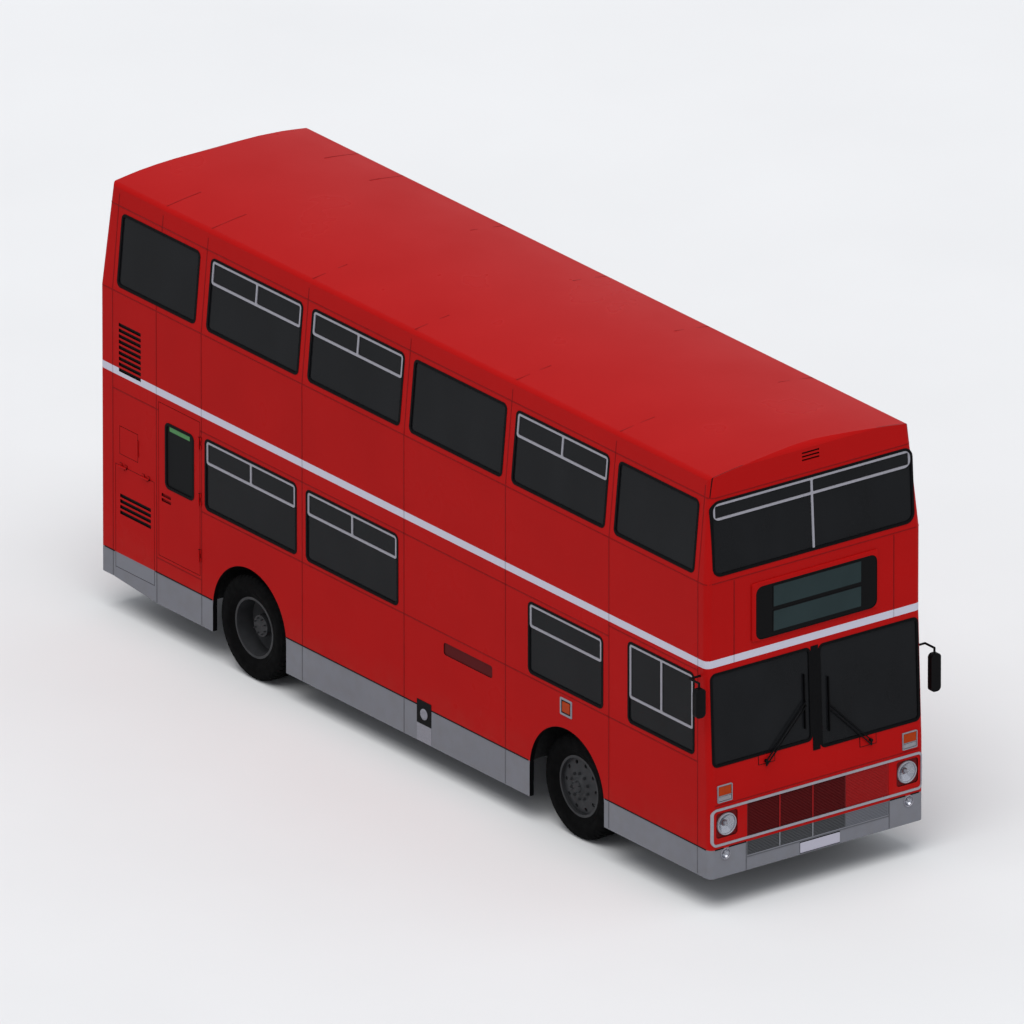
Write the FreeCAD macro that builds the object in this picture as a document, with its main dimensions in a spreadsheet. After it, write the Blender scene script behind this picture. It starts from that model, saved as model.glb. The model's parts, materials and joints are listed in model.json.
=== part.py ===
"""A double-decker bus with an integral body: front entrance on the left, engine across the back.

Frame: millimetres, +Z up from the ground, the front faces -Y, the bus's own right side is -X.
The origin lies on the ground below the middle of the body. The right side carries the driver's
window, the staircase and the rear emergency door, and the left side carries the folding entrance doors.
"""
import FreeCAD, Part
import os
import re
import Sketcher

V = FreeCAD.Vector
doc = FreeCAD.newDocument("double_decker_bus")

# ---------------------------------------------------------------- driving dimensions
SIZES = {
    # body shell
    "body_length": 9518, "body_width": 2500, "body_height": 4380, "wall": 50,
    "skirt_top": 622, "screen_foot": 1150, "screen_top": 2420, "waist": 3267, "gutter": 4098,
    "screen_setback": 56, "side_lean": 5.3, "front_lean": 3.4, "rear_lean": 3.6,
    "front_corner": 62, "rear_corner": 45, "roof_radius": 7600, "roof_edge": 62, "roof_drop": 88,
    "nose_edge": 70,
    "front_seam": 187, "rear_seam": 199, "skirt_low": 262, "nose_low": 335, "tail_low": 305, "tail_rise": 60,
    # wheels and arches
    "wheelbase": 4960, "rear_axle": 2412, "axle_height": 518, "arch_radius": 578, "arch_centre": 550,
    "tyre_radius": 518, "tyre_width": 280, "rim_radius": 300, "hand_holes": 10, "hand_hole_radius": 21,
    "hand_hole_place": 230, "front_track": 1002, "rear_track": 1089,
    "twin_spacing": 320, "kingpin_place": 880, "stub_radius": 36, "hub_gap": 0.5,
    "kingpin_radius": 20, "pin_gap": 0.05, "tube_radius": 60,
    "jacking_place": 500, "jacking_pad": 120, "pad_depth": 14,
    # window bays
    "first_pillar": 3165, "bay": 1590, "window_width": 1450, "end_window_width": 1243,
    "end_window_place": 3882, "upper_sill": 55, "upper_window_height": 728,
    "lower_sill": 1506, "lower_window_height": 728, "window_corner": 62,
    "rubber_width": 27, "rubber_proud": 4, "glass_recess": 8, "glass_thick": 6,
    "vent_height": 232, "top_vent_height": 167, "vent_bar": 24, "vent_proud": 1,
    # openings in the right side
    "cab_window_place": 4006, "cab_window_width": 1033, "cab_window_height": 822, "cab_vent_height": 543,
    "arch_window_place": 2530, "arch_window_width": 1166,
    "exit_front": 3187, "exit_rear": 3843, "exit_low": 805, "exit_high": 2365,
    "exit_window_front": 3280, "exit_window_rear": 3740,
    "hatch_front": 3910, "hatch_rear": 4527, "hatch_low": 470, "hatch_high": 1522,
    "flap_front": 4170, "flap_rear": 4460, "flap_low": 1635, "flap_high": 1922,
    "louvre_front": 4120, "louvre_rear": 4467, "louvre_low": 2415, "louvre_high": 2962,
    "hatch_louvre_front": 3967, "hatch_louvre_rear": 4453, "hatch_louvre_low": 982,
    "hatch_louvre_high": 1235, "slot_pitch": 57, "slot_height": 36, "slot_depth": 12,
    "door_gap": 5,
    # entrance on the left
    "door_front": 4490, "door_rear": 3290, "door_high": 2330,
    "leaf_thick": 30, "leaf_gap": 6, "leaf_frame": 42, "leaf_glass": 5,
    "jamb_clear": 24, "leaf_plane": 1218, "leaf_meet": 13, "fold_out": 7, "fold_barrel": 6,
    "leaf_lift": 7, "pivot_radius": 7, "pivot_length": 34,
    # hinges
    "hinge_out": 12, "hinge_barrel": 9, "hinge_pin": 4, "hinge_fit": 0.3, "hinge_strap": 6, "flap_hinge_out": 6,
    "seat_gap": 0.3, "trim_proud": 7,
    # floors and inside
    "floor_top": 640, "floor_thick": 40, "deck_top": 2480, "deck_thick": 60, "step_top": 365,
    "step_inner": 700, "bulkhead": 3860, "engine_deck": 1560, "engine_gap": 160, "panel": 20,
    "house_inner_front": 470, "house_inner_rear": 560, "house_half": 640, "house_top": 1160,
    "stair_low": -1820, "stair_tread": 225, "stair_steps": 8, "stair_inner": -540, "stair_outer": -1180,
    "seat_width": 840, "seat_side": 330, "seat_depth": 430, "seat_height": 330, "seat_pad": 100,
    "seat_back": 560, "seat_pitch": 735,
    # front
    "screen_sill_right": 1440, "screen_sill_left": 1340, "screen_lid": 2372, "screen_half": 1212,
    "top_screen_half": 1175, "top_screen_height": 745,
    "box_half": 732, "box_low": 2585, "box_high": 3160, "box_proud": 14,
    "surround_half": 1232, "surround_low": 652, "surround_high": 1031, "surround_width": 24, "surround_corner": 60,
    "grille_left": 818, "grille_right": 835, "grille_foot": 486, "grille_shut": 335, "grille_bar": 10,
    "grille_first_bar": 433, "grille_second_bar": 48, "grille_depth": 34, "grille_shut_depth": 9, "grille_back": 6,
    "slat_pitch": 15, "slat_lip": 5, "slat_fall": 8, "slat_set": 2, "slat_shut_lip": 11,
    "lamp_ease": 0.5, "lamp_place": 1052, "lamp_height": 857, "lamp_radius": 110, "lamp_recess": 125, "recess_depth": 12,
    "recess_corner": 30, "fog_place": 1068, "fog_height": 562, "fog_radius": 57,
    "indicator_inner": 992, "indicator_outer": 1165, "indicator_low": 1087, "indicator_high": 1259,
    "repeater_front": 2632, "repeater_rear": 2448, "repeater_low": 1255, "repeater_high": 1428, "lamp_corner": 12,
    "pillar_half": 43, "roof_vent_half": 100, "roof_vent_low": 4215, "roof_vent_pitch": 35, "roof_vent_slot": 18,
    "side_bar_front": 1392, "side_bar_rear": 635, "side_bar_low": 1258, "side_bar_high": 1382, "side_bar_depth": 8,
    "handle_front": 3648, "handle_rear": 3795, "handle_low": 1372, "handle_high": 1455, "handle_depth": 16,
    "handle_bar": 20,
    # mirrors
    "mirror_place": 1372, "mirror_front": 4780, "mirror_width": 112, "mirror_depth": 58, "mirror_corner": 42,
    "mirror_tube": 11, "mirror_back": 145,
    # cab
    "steer_radius": 250, "steer_lean": 20, "steer_length": 830,
    # rear
    "bonnet_half": 900, "bonnet_low": 660, "bonnet_high": 1490, "bonnet_louvre_half": 700,
    "bonnet_louvre_low": 800, "bonnet_louvre_high": 1313,
    "back_window_half": 760, "back_window_height": 640, "top_back_half": 980,
}

sheet = doc.addObject("Spreadsheet::Sheet", "Sizes")
for row, (alias, value) in enumerate(SIZES.items(), 1):
    sheet.set(f"A{row}", alias)
    sheet.set(f"B{row}", str(value))
    sheet.setAlias(f"B{row}", alias)
doc.recompute()

RIGHT, LEFT = -1, 1          # sign of X on each side of the bus
SIDE_NAME = {RIGHT: "right", LEFT: "left"}
NODES = {}                   # node name -> the document object whose shape is written


# ---------------------------------------------------------------- helpers
def ex(text):
    """An expression in size names, with the sheet's name put before each of them."""
    return re.sub(r"[a-z_]+", lambda m: "Sizes." + m.group() if m.group() in SIZES else m.group(), str(text))


def number(text):
    """The value that such an expression has now."""
    found = sheet.evalExpression(ex(text))
    return float(getattr(found, "Value", found))


def bind(obj, prop, text):
    obj.setExpression(prop, ex(text))


def place(obj, x=0, y=0, z=0, axis=None, angle=0):
    """Puts obj at three expressions, turned about an axis by an angle in degrees."""
    if axis:
        obj.Placement = FreeCAD.Placement(V(), FreeCAD.Rotation(V(*axis), 1))
        bind(obj, "Placement.Rotation.Angle", angle)
    for name, text in zip("xyz", (x, y, z)):
        bind(obj, "Placement.Base." + name, text)
    return obj


def box(name, x, y, z):
    """A block between a low and a high expression along each axis."""
    made = doc.addObject("Part::Box", name)
    for prop, (low, high) in zip(("Length", "Width", "Height"), (x, y, z)):
        bind(made, prop, f"({high}) - ({low})")
    return place(made, x[0], y[0], z[0])


EDGES = {"x": (9, 10, 11, 12), "y": (2, 4, 6, 8), "z": (1, 3, 5, 7)}    # a block's edges along each axis


def fillet(name, base, edges, radius):
    made = doc.addObject("Part::Fillet", name)
    made.Base = base
    made.Edges = [(edge, number(radius), number(radius)) for edge in edges]
    return made


def rounded(name, x, y, z, radius, along="x"):
    """A block whose four edges along one axis are rounded."""
    return fillet(name, box(name + "_block", x, y, z), EDGES[along], radius)


TURNS = {"x": ((0, 1, 0), 90), "y": ((1, 0, 0), -90), "z": (None, 0)}


def cylinder(name, radius, low, high, along, centre):
    """A round bar from low to high along an axis, centred on the other two coordinates in X, Y, Z order."""
    made = doc.addObject("Part::Cylinder", name)
    bind(made, "Radius", radius)
    bind(made, "Height", f"({high}) - ({low})")
    spot = list(centre)
    spot.insert("xyz".index(along), low)
    axis, angle = TURNS[along]
    return place(made, *spot, axis=axis, angle=angle)


def several(kind, name, shapes):
    made = doc.addObject(kind, name)
    setattr(made, "Links" if kind == "Part::Compound" else "Shapes", shapes)
    return made


def group(name, shapes):
    """Separate solids kept together, not joined."""
    return several("Part::Compound", name, shapes)


def fuse(name, shapes):
    return several("Part::MultiFuse", name, shapes)


def cut(name, base, tools):
    made = doc.addObject("Part::Cut", name)
    made.Base = base
    made.Tool = group(name + "_tools", tools)
    return made


def common(name, first, second):
    made = doc.addObject("Part::Common", name)
    made.Base, made.Tool = first, second
    return made


def mirrored(name, source):
    """The same piece on the other side of the bus."""
    made = doc.addObject("Part::Mirroring", name)
    made.Source = source
    made.Normal = V(1, 0, 0)
    return made


PLANES = {
    "xy": FreeCAD.Rotation(),
    "xz": FreeCAD.Rotation(V(1, 0, 0), 90),
    "yz": FreeCAD.Rotation(0.5, 0.5, 0.5, 0.5),
}


def outline(sketch, points):
    """Draws a closed outline and ties it to the sheet. Each point is two expressions, and a third is the
    radius of the arc that runs from it to the next point, positive when the arc turns left."""
    count = len(points)
    spots = [V(number(p[0]), number(p[1]), 0) for p in points]
    for i, point in enumerate(points):
        start, end = spots[i], spots[(i + 1) % count]
        if len(point) < 3:
            sketch.addGeometry(Part.LineSegment(start, end), False)
            continue
        radius = number(point[2])
        chord = end - start
        side = V(-chord.y, chord.x, 0).normalize() * (1 if radius > 0 else -1)
        centre_gap = max(radius ** 2 - (chord.Length / 2) ** 2, 0) ** 0.5
        middle = (start + end) / 2 + side * (centre_gap - abs(radius))
        sketch.addGeometry(Part.Arc(start, middle, end), False)
    ends = []
    for i, geo in enumerate(sketch.Geometry):
        forward = (geo.StartPoint - spots[i]).Length < (geo.EndPoint - spots[i]).Length
        ends.append((1, 2) if forward else (2, 1))
    for i in range(count):
        sketch.addConstraint(Sketcher.Constraint("Coincident", i, ends[i][1], (i + 1) % count, ends[(i + 1) % count][0]))
    for i, point in enumerate(points):
        for kind, text, value in (("DistanceX", point[0], spots[i].x), ("DistanceY", point[1], spots[i].y)):
            index = sketch.addConstraint(Sketcher.Constraint(kind, -1, 1, i, ends[i][0], value))
            sketch.renameConstraint(index, f"{kind}{i}")
            bind(sketch, f"Constraints.{kind}{i}", text)
        if len(point) == 3:
            index = sketch.addConstraint(Sketcher.Constraint("Radius", i, abs(number(point[2]))))
            sketch.renameConstraint(index, f"Radius{i}")
            bind(sketch, f"Constraints.Radius{i}", f"abs({point[2]})")
    return sketch


def drawn(name, plane, points, at=0):
    """A sketch on a plane through the expression at along the plane's normal."""
    sketch = doc.addObject("Sketcher::SketchObject", name)
    sketch.Placement = FreeCAD.Placement(V(), PLANES[plane])
    bind(sketch, "Placement.Base." + {"xy": "z", "xz": "y", "yz": "x"}[plane], at)
    return outline(sketch, points)


def prism(name, plane, points, low, high):
    """An outline made solid from low to high along the plane's normal axis."""
    sketch = drawn(name + "_outline", plane, points, low)
    made = doc.addObject("Part::Extrusion", name)
    made.Base = sketch
    made.DirMode = "Custom"
    made.Dir = {"xy": V(0, 0, 1), "xz": V(0, 1, 0), "yz": V(1, 0, 0)}[plane]
    made.Solid = True
    bind(made, "LengthFwd", f"({high}) - ({low})")
    return made


def body_sketch(body, role, points):
    """A sketch in a body, on one of the body's own origin planes."""
    sketch = body.newObject("Sketcher::SketchObject", body.Name + "_sketch")
    plane = next(o for o in body.Origin.OriginFeatures if o.Role == role)
    sketch.AttachmentSupport = (plane, [""])
    sketch.MapMode = "FlatFace"
    doc.recompute()
    return outline(sketch, points)


def turned(name, points):
    """A PartDesign body turned about the X axis: points are (X, radius)."""
    body = doc.addObject("PartDesign::Body", name)
    sketch = body_sketch(body, "XZ_Plane", points)
    spin = body.newObject("PartDesign::Revolution", name + "_turn")
    spin.Profile = sketch
    spin.ReferenceAxis = (sketch, ["H_Axis"])
    spin.Angle = 360
    body.Tip = spin
    return body


def node(name, obj):
    obj.Label = name
    NODES[name] = obj
    return obj


HALF = "body_width / 2"
FRONT = "-body_length / 2"
REAR = "body_length / 2"


# ---------------------------------------------------------------- body shell
def ring_points(half, front, rear, front_round, rear_round):
    """A plan view of the body: a rectangle with rounded corners."""
    return [
        (f"-({half}) + {front_round}", front), (f"{half} - {front_round}", front, front_round),
        (half, f"{front} + {front_round}"), (half, f"{rear} - {rear_round}", rear_round),
        (f"{half} - {rear_round}", rear), (f"-({half}) + {rear_round}", rear, rear_round),
        (f"-({half})", f"{rear} - {rear_round}"), (f"-({half})", f"{front} + {front_round}", front_round),
    ]


def body_loft(name, inset):
    """The body's sides, front and back, set in by an amount: a loft through level sections."""
    rise = "(body_height + 20 - waist)"
    sections = (
        # height, narrowing of each side, front moved back, rear moved forward
        ("150", "0", "0", "0"),
        ("screen_foot", "0", "0", "0"),
        ("screen_top", "0", "screen_setback", "0"),
        ("waist", "0", "screen_setback", "0"),
        ("body_height + 20", f"{rise} * tan(side_lean)", f"screen_setback + {rise} * tan(front_lean)",
         f"{rise} * tan(rear_lean)"),
    )
    rings = []
    for i, (height, narrowing, front_back, rear_forward) in enumerate(sections):
        points = ring_points(f"{HALF} - {inset} - {narrowing}", f"{FRONT} + {inset} + {front_back}",
                             f"{REAR} - {inset} - {rear_forward}",
                             f"(front_corner - {inset} * 0.9)", f"(rear_corner - {inset} * 0.8)")
        rings.append(drawn(f"{name}_section_{i}", "xy", points, height))
    loft = doc.addObject("Part::Loft", name + "_loft")
    loft.Sections = rings
    loft.Solid = True
    loft.Ruled = True
    return loft


def envelope(name, inset):
    """The body's whole form, set in by an amount: the roof's curves cut over the loft."""
    roof = common(name + "_roof", across_roof(name, inset), along_roof(name, inset))
    return common(name, body_loft(name, inset), roof)


def across_roof(name, inset):
    """The roof's crown and its rounded side edges, run the length of the bus."""
    side = f"({HALF} - {inset} + 3)"
    edge = f"(roof_edge - {inset})"
    foot = f"(body_height - {inset} - roof_drop - 0.787 * {edge})"
    foot_x = f"({side} - ({foot} - waist) * tan(side_lean))"
    end_x = f"({foot_x} - 0.852 * {edge} - 3)"
    radius = f"(roof_radius - {inset})"
    end_z = f"body_height - roof_radius + sqrt({radius}^2 - {end_x}^2)"
    return prism(name + "_across", "xz", [
        (f"-{side}", "100"), (side, "100"), (side, "waist"), (foot_x, foot, edge), (end_x, end_z, radius),
        (f"-{end_x}", end_z, edge), (f"-{foot_x}", foot), (f"-{side}", "waist"),
    ], f"{FRONT} - 50", f"{REAR} + 50")


def along_roof(name, inset):
    """The roof's rounded front and back edges, run across the bus."""
    top = f"(body_height - {inset})"
    edge = f"(nose_edge - {inset})"
    front = f"({FRONT} + {inset} - 3 + screen_setback + ({top} - waist) * tan(front_lean))"
    rear = f"({REAR} - {inset} + 3 - ({top} - waist) * tan(rear_lean))"
    foot = f"({top} - 0.94 * {edge})"
    front_foot = f"({front} - 0.94 * {edge} * tan(front_lean))"
    rear_foot = f"({rear} + 0.94 * {edge} * tan(rear_lean))"
    return prism(name + "_along", "yz", [
        (f"{FRONT} - 40", "100"), (f"{REAR} + 40", "100"), (f"{REAR} + 40", "waist"), (f"{REAR} + 3 - {inset}", "waist"),
        (rear_foot, foot, edge), (f"{rear} - 0.94 * {edge} - 3", top), (f"{front} + 0.94 * {edge} + 3", top, edge),
        (front_foot, foot), (f"{FRONT} - 3 + {inset} + screen_setback", "waist"), (f"{FRONT} - 40", "waist"),
    ], f"-{HALF} - 60", f"{HALF} + 60")


def make_shell():
    """The outside and the inside forms, and the wall between them."""
    outer, inner = envelope("outer", "0"), envelope("inner", "wall")
    return outer, inner, cut("shell", outer, [inner])


WIDE = ("-body_width", "body_width")
LONG = ("-body_length", "body_length")
FRONT_SEAM = f"({FRONT} + front_seam)"
REAR_SEAM = f"({REAR} - rear_seam)"


def axle(which):
    return "rear_axle" if which == "rear" else "(rear_axle - wheelbase)"


def arch_tools(name):
    """What the wheel arches take out of the sides: a round top over straight cheeks, at both axles."""
    tools = []
    for which in ("front", "rear"):
        centre = axle(which)
        tools.append(cylinder(f"{name}_{which}_round", "arch_radius", *WIDE, "x", (centre, "arch_centre")))
        tools.append(box(f"{name}_{which}_cheeks", WIDE, (f"{centre} - arch_radius", f"{centre} + arch_radius"),
                         ("0", "arch_centre")))
    return fuse(name, tools)


# ---------------------------------------------------------------- windows
class Wall:
    """A wall that windows sit in. Its windows are drawn with depth 0 at its outer face and then placed."""

    def __init__(self, name, across, inward, base=(0, 0, 0), axis=None, angle=0):
        self.name, self.across, self.inward = name, across, inward
        self.where = dict(x=base[0], y=base[1], z=base[2], axis=axis, angle=angle)
        self.holes, self.rubbers, self.panes, self.vents = [], [], [], []

    def slab(self, name, along, up, depth, radius):
        """A rounded slab: along the wall, up it, and into it from one depth to another."""
        low, high = depth if self.inward > 0 else (f"-({depth[1]})", f"-({depth[0]})")
        if self.across == "x":
            return rounded(name, (low, high), along, up, radius, "x")
        return rounded(name, along, (low, high), up, radius, "y")

    def window(self, name, along, up, vent=None, bars=1, corner="window_corner"):
        """A glazed hole with its rubber and, where vent is a height, the bright frame of its sliding lights."""
        name = f"{self.name}_{name}"
        inner = [(f"({low}) + rubber_width", f"({high}) - rubber_width") for low, high in (along, up)]
        inner_corner = f"{corner} - rubber_width"
        self.holes.append(self.slab(name + "_hole", along, up, ("-20", "wall + 20"), corner))
        outside = self.slab(name + "_rubber_out", along, up, ("-rubber_proud", "wall / 2"), corner)
        inside = self.slab(name + "_rubber_in", *inner, ("-20", "wall"), inner_corner)
        self.rubbers.append(cut(name + "_rubber", outside, [inside]))
        self.panes.append(self.slab(name + "_pane", *inner, ("glass_recess", "glass_recess + glass_thick"),
                                    inner_corner))
        if vent:
            self.vents.append(self.vent(name + "_vent", *inner, vent, bars, inner_corner))

    def vent(self, name, along, up, height, bars, corner):
        """The bright frame round the lights that slide, in the top of a window."""
        foot = f"({up[1]}) - {height}"
        frame = self.slab(name + "_frame", along, (foot, up[1]), ("-vent_proud", "glass_recess"), corner)
        lights = []
        width = f"((({along[1]}) - ({along[0]}) - vent_bar * {bars + 2}) / {bars + 1})"
        for i in range(bars + 1):
            low = f"({along[0]}) + vent_bar + {i} * ({width} + vent_bar)"
            lights.append(self.slab(f"{name}_light_{i}", (low, f"{low} + {width}"),
                                    (f"{foot} + vent_bar", f"{up[1]} - vent_bar"), ("-20", "wall"), "14"))
        return cut(name, frame, lights)

    def placed(self, kind, items):
        return place(group(f"{self.name}_{kind}", items), **self.where)

    def hole_tool(self):
        return self.placed("holes", self.holes)


def span(centre, width):
    return (f"({centre}) - {width} / 2", f"({centre}) + {width} / 2")


def bay_centre(i):
    return f"first_pillar - bay * {i + 0.5}"


UPPER = ("upper_sill", "upper_sill + upper_window_height")
LOWER = ("lower_sill", "lower_sill + lower_window_height")


def upper_side(sign):
    wall = Wall("upper_right" if sign == RIGHT else "upper_left", "x", -sign,
                (f"{sign} * {HALF}", 0, "waist"), (0, -sign, 0), "side_lean")
    wall.window("tail", span("end_window_place", "end_window_width"), UPPER)
    for i, vent in enumerate(("vent_height", "vent_height", None, "vent_height")):
        wall.window(f"bay_{i}", span(bay_centre(i), "window_width"), UPPER, vent)
    wall.window("nose", span("-end_window_place", "end_window_width"), UPPER)
    return wall


def lower_right():
    wall = Wall("lower_right", "x", 1, (f"-{HALF}", 0, 0))
    for i in range(2):
        wall.window(f"bay_{i}", span(bay_centre(i) + " + 16", "window_width"), LOWER, "vent_height")
    wall.window("arch", span("-arch_window_place", "arch_window_width"), LOWER, "vent_height", 0)
    wall.window("cab", span("-cab_window_place", "cab_window_width"),
                ("lower_sill + 6", "lower_sill + 6 + cab_window_height"), "cab_vent_height")
    return wall


def lower_left():
    wall = Wall("lower_left", "x", -1, (HALF, 0, 0))
    wall.window("tail", ("exit_window_front - 40", "exit_window_rear + 60"), LOWER)
    for i, vent in enumerate(("vent_height", "vent_height", None, "vent_height")):
        wall.window(f"bay_{i}", span(bay_centre(i), "window_width"), LOWER, vent)
    return wall


def exit_wall():
    wall = Wall("exit", "x", 1, (f"-{HALF}", 0, 0))
    wall.window("light", ("exit_window_front", "exit_window_rear"), ("lower_sill + 18", "lower_sill + 690"))
    return wall


def top_screen():
    wall = Wall("top_screen", "y", 1, (0, f"{FRONT} + screen_setback", "waist"), (-1, 0, 0), "front_lean")
    high = "upper_sill + top_screen_height"
    wall.window("light", ("-top_screen_half", "top_screen_half"), ("upper_sill", high), "top_vent_height", 1, "100")
    wall.vents.append(wall.slab("top_screen_bar", ("-vent_bar / 2", "vent_bar / 2"), (
        "upper_sill + rubber_width", f"{high} - rubber_width - top_vent_height"), ("-vent_proud", "glass_recess"), "3"))
    return wall


def windscreens():
    """Two panes side by side on the raked front: the driver's, on the right, has the higher sill."""
    wall = Wall("screen", "y", 1, (0, FRONT, "screen_foot"), (-1, 0, 0),
                "atan(screen_setback / (screen_top - screen_foot))")
    lid = "screen_lid - screen_foot"
    wall.window("driver", ("-screen_half", "-pillar_half"), ("screen_sill_right - screen_foot", lid))
    wall.window("door_side", ("pillar_half", "screen_half"), ("screen_sill_left - screen_foot", lid))
    wall.rubbers.append(wall.slab("screen_pillar", ("-pillar_half", "pillar_half"),
                                  ("screen_sill_left - screen_foot", lid), ("-rubber_proud", "0"), "4"))
    return wall


def rear_lower():
    wall = Wall("back", "y", -1, (0, REAR, 0))
    wall.window("light", ("-back_window_half", "back_window_half"),
                ("lower_sill + 90", "lower_sill + 90 + back_window_height"))
    return wall


def rear_upper():
    wall = Wall("top_back", "y", -1, (0, REAR, "waist"), (1, 0, 0), "rear_lean")
    wall.window("light", ("-top_back_half", "top_back_half"), UPPER, None, 1, "90")
    return wall


# ---------------------------------------------------------------- panels
def slots(name, front, rear, low, high):
    """Horizontal louvre slots cut a little way into the right side."""
    count = int(number(f"(({high}) - ({low}) + slot_pitch - slot_height) / slot_pitch") + 0.01)
    return [box(f"{name}_{i}", (f"-{HALF} - 1", f"-{HALF} + slot_depth"), (front, rear),
                (f"{high} - {i} * slot_pitch - slot_height", f"{high} - {i} * slot_pitch")) for i in range(count)]


def opening(name, side, front, rear, low, high):
    """A hole through one side wall, for a door or a lid."""
    x = (f"-{HALF} - 20", f"-{HALF} + wall + 20") if side == RIGHT else (f"{HALF} - wall - 20", f"{HALF} + 20")
    return box(name, x, (front, rear), (low, high))


def leaf_region(name, front, rear, low, high):
    """The space of a door or lid in the right side, clear of its hole by the door gap."""
    return box(name, (f"-{HALF} - 20", f"-{HALF} + wall + 20"), (f"{front} + door_gap", f"{rear} - door_gap"),
               (f"{low} + door_gap", f"{high} - door_gap"))


def hinge(name, along, spot, low, high, fixed_strap, moving_strap, barrel="hinge_barrel", pin="hinge_pin"):
    """A hinge of three knuckles round a pin. The outer two and the pin belong to what stays still, and the
    middle one runs on the pin. A strap is the block that ties a side's knuckles down: its two cross ranges."""
    third = f"((({high}) - ({low})) / 3)"
    inner = (f"{low} + {third}", f"{high} - {third}")
    ends = ((low, inner[0]), (inner[1], high))

    def strap(tag, ranges, along_range):
        sides = list(ranges)
        sides.insert("xyz".index(along), along_range)
        return box(f"{name}_{tag}", *sides)

    still = [cylinder(f"{name}_pin", pin, low, high, along, spot)]
    for i, end in enumerate(ends):
        still.append(cylinder(f"{name}_end_{i}", barrel, *end, along, spot))
        still.append(strap(f"strap_{i}", fixed_strap, end))
    run = (f"{inner[0]} + hinge_fit", f"{inner[1]} - hinge_fit")
    solid = fuse(f"{name}_knuckle", [cylinder(f"{name}_barrel", barrel, *run, along, spot),
                                     strap("moving_strap", moving_strap, run)])
    return still, cut(f"{name}_moving", solid, [cylinder(f"{name}_bore", f"{pin} + hinge_fit", low, high, along, spot)])


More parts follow.
